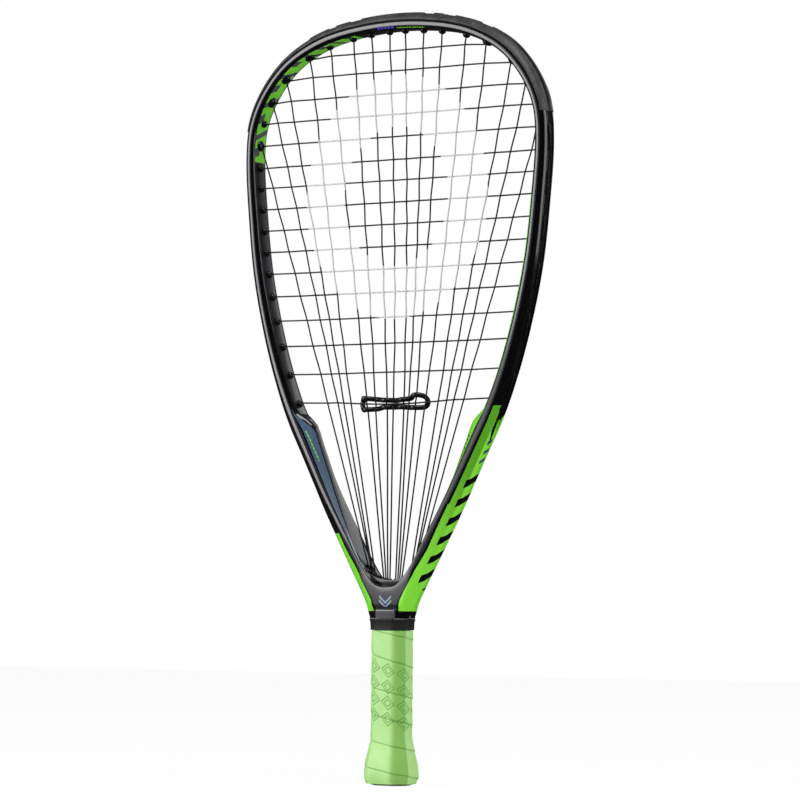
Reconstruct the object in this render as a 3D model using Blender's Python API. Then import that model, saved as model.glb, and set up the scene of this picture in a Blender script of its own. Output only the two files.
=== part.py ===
"""Racquetball racket: a hollow teardrop frame with a fan of main strings running into the throat.

Metres, +Z up. The origin is the middle of the butt end, the handle runs up +Z, the string
plane is XZ and the front faces -Y. Left and right halves are alike.
"""
import math

import bmesh
import bpy
import numpy as np
from mathutils import Matrix, Vector

# Gap between pieces that touch
CLEARANCE = 0.0003

# Frame: the ridge line of one half, from the throat up to the head, as (x, z)
RIDGE_LINE = (
    (0.0, 0.1406), (0.0085, 0.1421), (0.0148, 0.1474), (0.0205, 0.1545), (0.0342, 0.1758),
    (0.0477, 0.1976), (0.0603, 0.2195), (0.0720, 0.2416), (0.0832, 0.2625), (0.0960, 0.2920),
    (0.1090, 0.3335), (0.1183, 0.3760), (0.1235, 0.4200), (0.1260, 0.4630), (0.1238, 0.4820),
    (0.1173, 0.4983), (0.1080, 0.5120), (0.0945, 0.5253), (0.0803, 0.5340), (0.0600, 0.5420),
    (0.0300, 0.5476), (0.0, 0.5493))
# Rows of (height on the ridge line, size) for the beam's section
INNER_REACH = ((0.140, 0.0010), (0.165, 0.0010), (0.176, 0.0020), (0.197, 0.0044), (0.219, 0.0070),
               (0.2424, 0.0098), (0.2505, 0.0112), (0.2550, 0.0114), (0.2612, 0.0088), (0.2665, 0.0056),
               (0.272, 0.0046), (0.350, 0.0047), (0.463, 0.0037), (0.500, 0.0032), (0.530, 0.0027),
               (0.549, 0.0034))
INNER_FLAT = ((0.140, 0.0170), (0.176, 0.0148), (0.197, 0.0110), (0.219, 0.0066), (0.254, 0.0064),
              (0.2612, 0.0068), (0.272, 0.0138), (0.350, 0.0138), (0.463, 0.0138), (0.549, 0.0142))
BEAM_DEPTH = ((0.140, 0.0192), (0.176, 0.0204), (0.219, 0.0202), (0.262, 0.0194), (0.350, 0.0188),
              (0.463, 0.0184), (0.549, 0.0182))
OUTER_REACH = ((0.176, 0.0097), (0.197, 0.0086), (0.219, 0.0074), (0.262, 0.0070), (0.292, 0.0062),
               (0.350, 0.0058), (0.463, 0.0053), (0.500, 0.0058), (0.530, 0.0068), (0.549, 0.0074))
RIDGE_WIDTH = 0.0022
OUTER_FLAT = 0.0086
SHOULDER_OUT_RATIO = 0.66
SHOULDER_DEPTH_RATIO = 0.52
INNER_CROWN = 0.0003
STATION_STEP = 0.0230
WALL = 0.0015
CORE_START = 0.1850
CORE_RIDGE = 0.0011
# Throat: pairs of ridge height and the outer side's (x, z) beside it, down to the shaft
THROAT_SIDE = ((0.1406, 0.0, 0.1200), (0.1412, 0.0120, 0.1200), (0.1421, 0.0170, 0.1205),
               (0.1474, 0.0186, 0.1275), (0.1510, 0.0222, 0.1350), (0.1545, 0.0278, 0.1450),
               (0.1640, 0.0354, 0.1582), (0.1760, 0.0428, 0.1712))
PANEL_MARGIN = 0.0094

# String groove round the outside of the frame, its strips and the bumper guard
GROOVE_DEPTH = 0.0028
GROOVE_FLOOR = 0.0068
GROOVE_START = 0.2460
GROOVE_FADE = 0.0160
STRIP_START = 0.2640
STRIP_BASE = 0.0008
STRIP_RAIL = 0.0007
BUMPER_START = 0.4780
BUMPER_PROUD = ((0.478, 0.0009), (0.500, 0.0010), (0.530, 0.0013), (0.5493, 0.0015))
BUMPER_WALL = 0.0009
FLANGE_RATIO = 0.45
CHANNEL_WIDTH = 0.0044
TIP = 0.0006
HOLE_SIDES = 6
BARREL_RADIUS = 0.0019
BARREL_BORE = 0.00105
SHARED_BARREL_RADIUS = 0.0027
SHARED_BARREL_BORE = 0.0021

# Strings
STRING_DIAMETER = 0.0013
CROSS_HEIGHTS = (0.5315, 0.5168, 0.5005, 0.4850, 0.4687, 0.4520, 0.4369, 0.4210,
                 0.4050, 0.3890, 0.3727, 0.3558, 0.3376, 0.3186, 0.2984, 0.2771)
SHARED_CROSSES = {4: 0, 3: 1, 2: 2, 1: 4}
MAIN_TOPS = {8: 0.0068, 7: 0.0229, 6: 0.0388, 5: 0.0596}
MAIN_FEET = {1: 0.0192, 2: 0.0192, 3: 0.0163, 4: 0.0163, 5: 0.0069, 6: 0.0069, 7: 0.0034, 8: 0.0034}
MAIN_BOW = {2: 0.0018, 4: -0.0024, 6: 0.0010, 7: 0.0037, 8: 0.0047, 9: 0.0043, 10: 0.0035, 11: 0.0017,
            12: 0.0037, 13: 0.0024, 14: 0.0008, 16: 0.0010}
FEET_SPREAD = 0.0028
SHARED_SPREAD = 0.0019
WEAVE = 0.0008
CROSS_SAG = 0.0020
SAG_REACH = 0.0500
PAST_TIP = 0.0013
CORNER = 0.00055
TAIL = 0.0060
GROOVE_STEP = 0.0090
MAINS = 16
HEAD_BEND = 0.4400
MEETING_MARGIN = 0.0020
STRING_RESOLUTION = 1
GAP_SKIP = 5

# Throat grommet block, which carries the feet of the main strings
BLOCK_WIDTH = 0.0444
BLOCK_RISE = 0.0078
EAR_WIDTH = 0.0017
BLOCK_ARC_POINTS = 5
BLOCK_FOOT = 0.1350
BLOCK_WAIST = BLOCK_FOOT + 0.0110
BLOCK_TOP = BLOCK_FOOT + 0.0124
BLOCK_EAR = BLOCK_FOOT + 0.0216
BLOCK_FOOT_WIDTH = 0.0372
BLOCK_DEPTH = 0.0096
CHAMBER_DROP = 0.0050
CHAMBER_MARGIN = 0.0012
FEET_FOCUS = 0.0905
FEET_BORE = 0.00105

# Handle
SHAFT_WIDTH = 0.0204
SHAFT_DEPTH = 0.0124
SHAFT_BEVEL = 0.0031
SHAFT_WALL = 0.0019
SHAFT_BOTTOM = 0.0150
SHAFT_ROOT = 0.0040
PALLET_WIDTH = 0.0260
PALLET_DEPTH = 0.0187
PALLET_BEVEL = 0.0056
PALLET_TOP = 0.1195
CAP_FLOOR = 0.0050
CAP_SKIRT = 0.0240
CAP_ROOM = 0.0020
CORD_HOLE = 0.0070
CORD_HOLE_SIDES = 16
FLARE_TOP = 0.0380
FLARE_HEIGHT = 0.0110
FLARE_REACH = 0.0038
FLARE_ROUND = 0.0026
FLARE_RINGS = (0.0012, 0.0040, FLARE_HEIGHT, 0.0150, 0.0195)
STAPLE_WIRE = 0.0007
STAPLE_CROWN = 0.0060
STAPLE_LEG = 0.0044
STAPLE_HEIGHT = 0.0195
STAPLE_SPACING = 0.0078
STAPLE_SINK = 0.0002
GRIP_THICKNESS = 0.0017
GRIP_TOP = 0.1110
GRIP_BOTTOM = 0.0012
GRIP_PITCH = 0.0196
GRIP_SEAM = 0.0119
GRIP_LAP = 0.0004
GRIP_COLUMNS = 16
GRIP_ROW_RATIOS = (0.004, 0.5, 0.996)
GRIP_CORNER = 0.0012
TAPE_THICKNESS = 0.0004
TAPE_TOP = 0.1172
COLLAR_TOP = 0.1197
COLLAR_WALL = 0.0022
COLLAR_LIP = 0.0005

# Vibration dampener: the loop's middle line, seen from the front, as (x, z)
DAMPENER_STRAND = 0.0028
DAMPENER_WEAVE = 0.0034
DAMPENER_LEFT = -0.0281
DAMPENER_RINGS = 44
DAMPED_MAINS = range(5, MAINS - 3)
DAMPENER_LOOP = (
    (-0.0281, 0.2762), (-0.0274, 0.2785), (-0.0245, 0.2791), (-0.0168, 0.2786), (-0.0089, 0.2782),
    (-0.0010, 0.2779), (0.0063, 0.2779), (0.0112, 0.2781), (0.0150, 0.2788), (0.0190, 0.2805),
    (0.0232, 0.2811), (0.0270, 0.2800), (0.0295, 0.2772), (0.0298, 0.2742), (0.0284, 0.2718),
    (0.0250, 0.2711), (0.0183, 0.2713), (0.0112, 0.2714), (0.0063, 0.2715), (-0.0010, 0.2715),
    (-0.0089, 0.2714), (-0.0168, 0.2710), (-0.0245, 0.2706), (-0.0274, 0.2712), (-0.0281, 0.2735))


def clear_scene():
    """Remove every object, so that the model starts from nothing."""
    for item in list(bpy.data.objects):
        bpy.data.objects.remove(item, do_unlink=True)


def new_collection(name):
    """Make a collection in the scene."""
    made = bpy.data.collections.new(name)
    bpy.context.scene.collection.children.link(made)
    return made


clear_scene()
PARTS = new_collection("racquetball_racket")
CUTTERS = new_collection("cutters")


def material(name, colour, roughness, metallic=0.0):
    """Make a Principled material."""
    made = bpy.data.materials.new(name)
    made.use_nodes = True
    shader = made.node_tree.nodes["Principled BSDF"]
    shader.inputs["Base Color"].default_value = (*colour, 1.0)
    shader.inputs["Roughness"].default_value = roughness
    shader.inputs["Metallic"].default_value = metallic
    made.diffuse_color = (*colour, 1.0)
    return made


def add_mesh(name, bm, collection, finish=None, sharp=35.0):
    """Turn a bmesh into an object, shaded smooth with sharp edges kept."""
    mesh = bpy.data.meshes.new(name)
    bm.to_mesh(mesh)
    bm.free()
    mesh.shade_smooth()
    mesh.set_sharp_from_angle(angle=math.radians(sharp))
    item = bpy.data.objects.new(name, mesh)
    collection.objects.link(item)
    if finish:
        mesh.materials.append(finish)
    if collection is CUTTERS:
        item.hide_render = True
        item.display_type = "WIRE"
    return item


def boolean(item, tool, operation):
    """Add a Boolean modifier with the exact solver."""
    modifier = item.modifiers.new(operation.lower(), "BOOLEAN")
    modifier.operation = operation
    modifier.solver = "EXACT"
    modifier.object = tool
    return modifier


def cut(item, tool):
    """Take the tool's shape out of the piece."""
    return boolean(item, tool, "DIFFERENCE")


def fuse(item, tool):
    """Join the tool's shape to the piece as one body."""
    return boolean(item, tool, "UNION")


def loft(name, sections, collection, finish=None, ring=False, sharp=35.0):
    """Join sections of equal point count by quads, as a ring or with both ends capped."""
    bm = bmesh.new()
    rows = [[bm.verts.new(point) for point in section] for section in sections]
    count = len(rows[0])
    spans = len(rows) if ring else len(rows) - 1
    for i in range(spans):
        here, there = rows[i], rows[(i + 1) % len(rows)]
        for k in range(count):
            m = (k + 1) % count
            bm.faces.new((here[k], here[m], there[m], there[k]))
    if not ring:
        bm.faces.new(rows[0])
        bm.faces.new(rows[-1])
    bmesh.ops.recalc_face_normals(bm, faces=bm.faces)
    return add_mesh(name, bm, collection, finish, sharp)


def rod_between(bm, start, end, radius, sides):
    """Add a cylinder from start to end to a bmesh."""
    axis = Vector(end) - Vector(start)
    turn = Vector((0, 0, 1)).rotation_difference(axis).to_matrix().to_4x4()
    place = Matrix.Translation((Vector(start) + Vector(end)) / 2) @ turn
    bmesh.ops.create_cone(bm, cap_ends=True, segments=sides, radius1=radius, radius2=radius,
                          depth=axis.length, matrix=place)


def spline(points, samples):
    """Natural cubic spline through points, on their chord length; returns samples of points."""
    points = np.array(points, float)
    steps = np.linalg.norm(np.diff(points, axis=0), axis=1)
    t = np.concatenate(([0.0], np.cumsum(steps)))
    n = len(t)
    matrix = np.zeros((n, n))
    right = np.zeros((n, points.shape[1]))
    matrix[0, 0] = matrix[-1, -1] = 1.0
    for i in range(1, n - 1):
        matrix[i, i - 1:i + 2] = steps[i - 1], 2 * (steps[i - 1] + steps[i]), steps[i]
        right[i] = 6 * ((points[i + 1] - points[i]) / steps[i] - (points[i] - points[i - 1]) / steps[i - 1])
    bend = np.linalg.solve(matrix, right)
    made = []
    for value in np.linspace(0.0, t[-1], samples):
        i = min(int(np.searchsorted(t, value, side="right")) - 1, n - 2)
        a, b, h = t[i + 1] - value, value - t[i], steps[i]
        made.append(bend[i] * a ** 3 / (6 * h) + bend[i + 1] * b ** 3 / (6 * h)
                    + (points[i] / h - bend[i] * h / 6) * a + (points[i + 1] / h - bend[i + 1] * h / 6) * b)
    return np.array(made)


def rows_at(rows, height):
    """Read a size from rows of (height, size)."""
    return float(np.interp(height, [row[0] for row in rows], [row[1] for row in rows]))


class Hoop:
    """The right half of the frame's ridge line, with the beam's section along it."""

    SAMPLES = 4001

    def __init__(self):
        mirrored = [(-x, z) for x, z in RIDGE_LINE[1:4]][::-1] + list(RIDGE_LINE)
        mirrored += [(-x, z) for x, z in RIDGE_LINE[-4:-1]][::-1]
        line = spline(mirrored, 2 * self.SAMPLES)
        first = int(np.argmax((line[:, 0] >= 0) & (line[:, 1] < 0.2)))
        last = len(line) - int(np.argmax((line[::-1, 0] >= 0) & (line[::-1, 1] > 0.2)))
        line = line[first:last]
        line[0, 0] = line[-1, 0] = 0.0
        self.line = line
        run = np.linalg.norm(np.diff(line, axis=0), axis=1)
        self.arc = np.concatenate(([0.0], np.cumsum(run)))
        self.length = float(self.arc[-1])
        tangent = np.gradient(line, self.arc, axis=0)
        tangent[0] = (1.0, 0.0)
        tangent[-1] = (-1.0, 0.0)
        tangent /= np.linalg.norm(tangent, axis=1)[:, None]
        self.normal = np.stack((tangent[:, 1], -tangent[:, 0]), axis=1)

    def at(self, s):
        """The ridge point and the outward normal at arc length s."""
        point = np.array([np.interp(s, self.arc, self.line[:, k]) for k in (0, 1)])
        normal = np.array([np.interp(s, self.arc, self.normal[:, k]) for k in (0, 1)])
        return point, normal / np.linalg.norm(normal)

    def place(self, s, out, y, side=1):
        """A point at arc length s, a distance out from the ridge line and y from the string plane."""
        point, normal = self.at(s)
        x, z = point + out * normal
        return Vector((side * x, y, z))

    def arc_at_height(self, z):
        """The arc length where the ridge line passes a height."""
        return float(np.interp(z, self.line[:, 1], self.arc))

    def tip_out(self, s):
        """Distance from the ridge line to the end of a grommet tip, inwards."""
        return -(rows_at(INNER_REACH, self.at(s)[0][1]) + TIP)

    def groove_out(self, s):
        """Distance from the ridge line out to the groove's floor."""
        return rows_at(OUTER_REACH, self.at(s)[0][1]) - GROOVE_DEPTH

    def solve(self, measure):
        """The arc length in the head where measure(s) rises or falls through zero."""
        grid = np.linspace(self.arc_at_height(0.19), self.length, 400)
        values = [measure(s) for s in grid]
        for i in range(len(grid) - 1):
            if values[i] * values[i + 1] <= 0:
                low, high = grid[i], grid[i + 1]
                for _ in range(30):
                    middle = (low + high) / 2
                    if measure(low) * measure(middle) <= 0:
                        high = middle
                    else:
                        low = middle
                return (low + high) / 2
        raise ValueError("no such place on the hoop")


HOOP = Hoop()
GRAPHITE = material("graphite", (0.02, 0.02, 0.024), 0.25)
GUARD_PLASTIC = material("guard_plastic", (0.03, 0.03, 0.032), 0.5)
STRING_BLACK = material("string_black", (0.02, 0.02, 0.02), 0.35)
SOFT_RUBBER = material("soft_rubber", (0.03, 0.03, 0.032), 0.55)
PALLET_FOAM = material("pallet_foam", (0.09, 0.09, 0.1), 0.8)
GRIP_GREEN = material("grip_green", (0.45, 0.77, 0.30), 0.7)
TAPE_BLACK = material("tape_black", (0.04, 0.04, 0.04), 0.45)
STEEL = material("steel", (0.6, 0.6, 0.62), 0.3, 1.0)


def throat_side(ridge_height):
    """The outer side's point beside a ridge height in the throat."""
    heights = [row[0] for row in THROAT_SIDE]
    return np.array([np.interp(ridge_height, heights, [row[k] for row in THROAT_SIDE]) for k in (1, 2)])


def beam_profile(s):
    """The front half of the beam's outside at arc length s, as (out, y) with y counted forwards."""
    height = HOOP.at(s)[0][1]
    half = rows_at(BEAM_DEPTH, height) / 2
    lip = OUTER_FLAT / 2
    if height < THROAT_SIDE[-1][0]:
        reach = float(np.linalg.norm(throat_side(height) - HOOP.at(s)[0]))
        edge = max(RIDGE_WIDTH / 2, reach - PANEL_MARGIN)
    else:
        reach = rows_at(OUTER_REACH, height)
        edge = RIDGE_WIDTH / 2
    shoulder = edge + SHOULDER_OUT_RATIO * (reach - edge)
    shoulder_y = lip + SHOULDER_DEPTH_RATIO * (half - lip)
    return (edge, half), (shoulder, shoulder_y), (reach, lip)


def frame_section(s, side):
    """Fourteen points round the beam at arc length s, inner wall first, then back, outside and front."""
    ridge, normal = HOOP.at(s)
    height = ridge[1]
    inner = rows_at(INNER_REACH, height)
    flat = rows_at(INNER_FLAT, height) / 2
    half = rows_at(BEAM_DEPTH, height) / 2
    top = RIDGE_WIDTH / 2
    waist = (inner + top) / 2 + INNER_CROWN
    waist_y = (flat + half) / 2 + INNER_CROWN
    fade = min(max((height - GROOVE_START) / GROOVE_FADE, 0.0), 1.0)
    groove = GROOVE_DEPTH * fade - INNER_CROWN * (1 - fade)
    outward = normal
    if height < THROAT_SIDE[-1][0]:
        outward = throat_side(height) - ridge
        outward = outward / np.linalg.norm(outward)
    edge, shoulder, lip = beam_profile(s)
    floor = (lip[0] - groove, GROOVE_FLOOR / 2)
    inner_half = [(-inner, flat, normal), (-waist, waist_y, normal), (-top, half, normal)]
    outer_half = [(*point, outward) for point in (edge, shoulder, lip, floor)]
    back = inner_half + outer_half
    profile = back + [(out, -y, direction) for out, y, direction in reversed(back)]
    made = []
    for out, y, direction in profile:
        x, z = ridge + out * direction
        made.append((side * x, y, z))
    return made


def station_arcs():
    """Arc lengths of the beam's sections, closer where the ridge line or the wedge turns."""
    heights = sorted({z for _, z in RIDGE_LINE} | {z for z, _ in INNER_REACH[5:10]} | {GROOVE_START,
                     GROOVE_START + GROOVE_FADE})
    knots = [HOOP.arc_at_height(z) for z in heights]
    made = []
    for here, there in zip(knots, knots[1:]):
        parts = max(1, round((there - here) / STATION_STEP))
        made += [here + (there - here) * k / parts for k in range(parts)]
    return made + [knots[-1]]


def ring_sections(section, arcs):
    """Sections up the right side, over the head and down the left side."""
    right = [section(s, 1) for s in arcs]
    left = [section(s, -1) for s in reversed(arcs[1:-1])]
    return right + left


def core_section(s, side):
    """Eight points of the hollow inside the beam."""
    ridge, normal = HOOP.at(s)
    height = ridge[1]
    inner = rows_at(INNER_REACH, height) - WALL
    outer = rows_at(OUTER_REACH, height) - GROOVE_DEPTH - WALL
    flat = (rows_at(INNER_FLAT, height) - WALL) / 2
    half = rows_at(BEAM_DEPTH, height) / 2 - 1.5 * WALL
    lip = (GROOVE_FLOOR - WALL) / 2
    top = CORE_RIDGE / 2
    outer = max(outer, CORE_RIDGE)
    profile = ((-inner, -flat), (-inner, flat), (-top, half), (top, half), (outer, lip), (outer, -lip),
               (top, -half), (-top, -half))
    return [tuple(HOOP.place(s, out, y, side)) for out, y in profile]


def octagon(half_width, half_depth, bevel, z):
    """Eight points of a bevelled rectangle at height z, counter-clockwise from the front right."""
    w, d, b = half_width, half_depth, bevel
    return [(w, -d + b, z), (w, d - b, z), (w - b, d, z), (-w + b, d, z),
            (-w, d - b, z), (-w, -d + b, z), (-w + b, -d, z), (w - b, -d, z)]


def block_top(x):
    """Height of the throat block's hollowed top at x."""
    return BLOCK_TOP + BLOCK_RISE * (2 * x / BLOCK_WIDTH) ** 2


def block_outline(gap):
    """Right half-outline of the throat block in XZ, from the foot up to its ear, widened by a gap."""
    foot = BLOCK_FOOT_WIDTH / 2 + gap
    wide = BLOCK_WIDTH / 2 + gap
    return [(foot, BLOCK_FOOT - gap), (wide, BLOCK_WAIST), (wide, BLOCK_EAR + gap)]


def mirrored(half):
    """Close a right half-outline with its mirror image."""
    return list(half) + [(-x, z) for x, z in reversed(half)]


def prism_y(name, outline, depth, collection, finish=None):
    """Extrude an XZ outline through Y, centred on the string plane."""
    bm = bmesh.new()
    rows = [[bm.verts.new((x, y, z)) for x, z in outline] for y in (-depth / 2, depth / 2)]
    count = len(outline)
    bm.faces.new(rows[0])
    bm.faces.new(rows[1][::-1])
    for k in range(count):
        m = (k + 1) % count
        bm.faces.new((rows[0][m], rows[0][k], rows[1][k], rows[1][m]))
    bmesh.ops.recalc_face_normals(bm, faces=bm.faces)
    return add_mesh(name, bm, collection, finish)


class Hole:
    """A string hole through the beam: its arc length, side, and what passes through it."""

    def __init__(self, s, side, main=None, cross=None):
        self.s = s
        self.side = side
        self.main = main
        self.cross = cross
        self.shared = main is not None and cross is not None
        self.radius = SHARED_BARREL_RADIUS if self.shared else BARREL_RADIUS
        self.bore = SHARED_BARREL_BORE if self.shared else BARREL_BORE

    def point(self, out, y=0.0):
        """A point on the hole's axis, out from the ridge line."""
        return HOOP.place(self.s, out, y, self.side)

    def tip(self, y=0.0, extra=0.0):
        """The inner end of the grommet tip, or a little further in."""
        return self.point(HOOP.tip_out(self.s) - extra, y)

    def height(self):
        """Height of the ridge line at the hole."""
        return HOOP.at(self.s)[0][1]


def make_holes():
    """All string holes round the hoop."""
    made = []
    main_of_cross = {cross: main for main, cross in SHARED_CROSSES.items()}
    for j, z in enumerate(CROSS_HEIGHTS):
        s = HOOP.solve(lambda t, z=z: HOOP.place(t, HOOP.tip_out(t), 0).z - z)
        for side in (1, -1):
            made.append(Hole(s, side, main_of_cross.get(j), j))
    for main, x in MAIN_TOPS.items():
        s = HOOP.solve(lambda t, x=x: HOOP.place(t, HOOP.tip_out(t), 0).x - x
                       if HOOP.at(t)[0][1] > BUMPER_START else 1.0)
        for side in (1, -1):
            made.append(Hole(s, side, main, None))
    return made


HOLES = make_holes()


def hole_for(side, main=None, cross=None):
    """The hole on one side for a main or a cross."""
    for hole in HOLES:
        if hole.side == side and (main is not None and hole.main == main
                                  or cross is not None and hole.cross == cross):
            return hole
    raise ValueError("no such hole")


def make_frame():
    """The one-piece hollow frame: hoop, throat and the shaft that runs down into the handle."""
    arcs = station_arcs()
    frame = loft("frame", ring_sections(frame_section, arcs), PARTS, GRAPHITE, ring=True)
    throat_bottom = THROAT_SIDE[0][2]
    shaft = loft("frame_shaft", [octagon(SHAFT_WIDTH / 2, SHAFT_DEPTH / 2, SHAFT_BEVEL, z)
                                 for z in (SHAFT_BOTTOM, throat_bottom + SHAFT_ROOT)], CUTTERS)
    fuse(frame, shaft)
    core_arcs = [s for s in arcs if HOOP.at(s)[0][1] > CORE_START][::2]
    core_arcs = core_arcs + [HOOP.length] if core_arcs[-1] < HOOP.length else core_arcs
    up = [core_section(s, 1) for s in core_arcs]
    down = [core_section(s, -1) for s in reversed(core_arcs[:-1])]
    cut(frame, loft("frame_core", up + down, CUTTERS))
    holes = bmesh.new()
    for hole in HOLES:
        rod_between(holes, hole.tip(extra=PAST_TIP), hole.point(HOOP.groove_out(hole.s) + WALL),
                    hole.radius + CLEARANCE, HOLE_SIDES)
    cut(frame, add_mesh("string_holes", holes, CUTTERS))
    half = block_outline(CLEARANCE) + [(BLOCK_WIDTH / 4, BLOCK_EAR + BLOCK_WIDTH / 4)]
    cut(frame, prism_y("block_pocket", mirrored(half), BLOCK_DEPTH + 2 * CLEARANCE, CUTTERS))
    chamber_half = BLOCK_FOOT_WIDTH / 2 - CHAMBER_MARGIN
    chamber = [(chamber_half - CHAMBER_MARGIN, BLOCK_FOOT - CHAMBER_DROP),
               (chamber_half, BLOCK_FOOT + CHAMBER_MARGIN)]
    cut(frame, prism_y("loop_chamber", mirrored(chamber), BLOCK_DEPTH - CHAMBER_MARGIN, CUTTERS))
    bore = loft("shaft_bore", [octagon(SHAFT_WIDTH / 2 - SHAFT_WALL, SHAFT_DEPTH / 2 - SHAFT_WALL,
                                       SHAFT_BEVEL / 2, z)
                               for z in (SHAFT_BOTTOM - SHAFT_WALL, throat_bottom - SHAFT_ROOT)], CUTTERS)
    cut(frame, bore)
    return frame


def groove_run(s):
    """Distance from the ridge line out to the middle of a string that runs in the groove."""
    return HOOP.groove_out(s) + CLEARANCE + STRIP_BASE + CLEARANCE + STRING_DIAMETER / 2


def add_barrels(strip, name, holes):
    """Fuse a grommet barrel on a strip for each hole and bore it out."""
    barrels = bmesh.new()
    bores = bmesh.new()
    for hole in holes:
        base = HOOP.groove_out(hole.s) + CLEARANCE
        tip = HOOP.tip_out(hole.s)
        rod_between(barrels, hole.point(tip), hole.point(base + STRIP_BASE / 2), hole.radius, HOLE_SIDES)
        rod_between(bores, hole.point(tip - TIP), hole.point(base + STRIP_BASE + STRING_DIAMETER),
                    hole.bore, HOLE_SIDES)
    fuse(strip, add_mesh(name + "_barrels", barrels, CUTTERS))
    cut(strip, add_mesh(name + "_bores", bores, CUTTERS))


def strip_section(s, side):
    """Eight points round a side strip: a base in the groove with a low rail along each edge."""
    base = HOOP.groove_out(s) + CLEARANCE
    wide = GROOVE_FLOOR / 2 - CLEARANCE
    high = base + STRIP_BASE + STRIP_RAIL
    half = [(base, wide), (high, wide + CLEARANCE), (high, CHANNEL_WIDTH / 2 + CLEARANCE),
            (base + STRIP_BASE, CHANNEL_WIDTH / 2)]
    profile = half + [(out, -y) for out, y in reversed(half)]
    return [tuple(HOOP.place(s, out, y, side)) for out, y in profile]


def make_grommet_strip(name, side):
    """One side's plastic strip, with a barrel for each string hole below the bumper guard."""
    start = HOOP.arc_at_height(STRIP_START)
    end = HOOP.arc_at_height(BUMPER_START) - CLEARANCE
    arcs = [start] + [s for s in station_arcs() if start < s < end] + [end]
    strip = loft(name, [strip_section(s, side) for s in arcs], PARTS, GUARD_PLASTIC)
    add_barrels(strip, name, [hole for hole in HOLES
                              if hole.side == side and hole.height() < BUMPER_START])
    return strip


def bumper_section(s, side):
    """Sixteen points round the bumper guard: a saddle over the beam with a channel for the strings."""
    edge, shoulder, lip = [np.array(point) for point in beam_profile(s)]
    tip = edge + FLANGE_RATIO * (shoulder - edge)
    floor = HOOP.groove_out(s) + CLEARANCE
    slope = shoulder - edge
    side_normal = np.array((-slope[1], slope[0])) / np.linalg.norm(slope)
    fall = lip - shoulder
    fall_normal = np.array((-fall[1], fall[0])) / np.linalg.norm(fall)
    corner_normal = (side_normal + fall_normal) / (1 + side_normal @ fall_normal)
    rail = lip[0] + rows_at(BUMPER_PROUD, HOOP.at(s)[0][1])
    skin = CLEARANCE + BUMPER_WALL
    half = [(floor + STRIP_BASE, CHANNEL_WIDTH / 2), (rail, CHANNEL_WIDTH / 2), (rail, lip[1]),
            tuple(shoulder + skin * corner_normal), tuple(tip + skin * side_normal),
            tuple(tip + CLEARANCE * side_normal), tuple(shoulder + CLEARANCE * corner_normal),
            (lip[0] + CLEARANCE, lip[1]), (floor, GROOVE_FLOOR / 2 - CLEARANCE)]
    profile = half + [(out, -y) for out, y in reversed(half)]
    return [tuple(HOOP.place(s, out, y, side)) for out, y in profile]


def make_bumper_guard():
    """The guard over the head, in one piece with the barrels of the head's string holes."""
    start = HOOP.arc_at_height(BUMPER_START) + CLEARANCE
    arcs = [start] + [s for s in station_arcs() if s > start]
    up = [bumper_section(s, 1) for s in arcs]
    down = [bumper_section(s, -1) for s in reversed(arcs[:-1])]
    guard = loft("bumper_guard", up + down, PARTS, GUARD_PLASTIC)
    add_barrels(guard, "bumper_guard", [hole for hole in HOLES if hole.height() > BUMPER_START])
    return guard


def foot_line(main):
    """The bore of a main string's foot: its x at the block's top, and its y."""
    x = MAIN_FEET[min(main, MAINS + 1 - main)] * (1 if main > MAINS / 2 else -1)
    return x, -FEET_SPREAD / 2 if main % 2 else FEET_SPREAD / 2


def foot_point(main, z):
    """A point at height z on the slanted bore of a main string's foot."""
    x, y = foot_line(main)
    return Vector((x * (1 - (block_top(x) - z) / FEET_FOCUS), y, z))


def make_throat_block():
    """The insert in the throat, bored for the sixteen feet of the main strings."""
    arc = [(x, block_top(x)) for x in np.linspace(0, BLOCK_WIDTH / 2 - EAR_WIDTH, BLOCK_ARC_POINTS)]
    right = block_outline(0.0) + arc[:0:-1]
    outline = right + [arc[0]] + [(-x, z) for x, z in reversed(right)]
    block = prism_y("throat_grommet_block", outline, BLOCK_DEPTH, PARTS, GUARD_PLASTIC)
    bores = bmesh.new()
    for main in range(1, MAINS + 1):
        rod_between(bores, foot_point(main, BLOCK_FOOT - CHAMBER_DROP / 2),
                    foot_point(main, BLOCK_EAR + PAST_TIP), FEET_BORE, HOLE_SIDES)
    cut(block, add_mesh("foot_bores", bores, CUTTERS))
    return block


def tube(name, points, radius, resolution, collection, finish=None, cyclic=False):
    """A wire through points, as a mesh with welded caps."""
    curve = bpy.data.curves.new(name + "_line", "CURVE")
    curve.dimensions = "3D"
    curve.bevel_depth = radius
    curve.bevel_resolution = resolution
    curve.use_fill_caps = True
    run = curve.splines.new("POLY")
    run.points.add(len(points) - 1)
    for slot, point in zip(run.points, points):
        slot.co = (*point, 1.0)
    run.use_cyclic_u = cyclic
    guide = bpy.data.objects.new(name + "_line", curve)
    collection.objects.link(guide)
    bpy.context.view_layer.update()
    drawn = guide.evaluated_get(bpy.context.evaluated_depsgraph_get())
    bm = bmesh.new()
    bm.from_mesh(bpy.data.meshes.new_from_object(drawn))
    bpy.data.objects.remove(guide)
    bmesh.ops.remove_doubles(bm, verts=bm.verts, dist=radius / 100)
    bmesh.ops.recalc_face_normals(bm, faces=bm.faces)
    return add_mesh(name, bm, collection, finish, 80.0)


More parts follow.
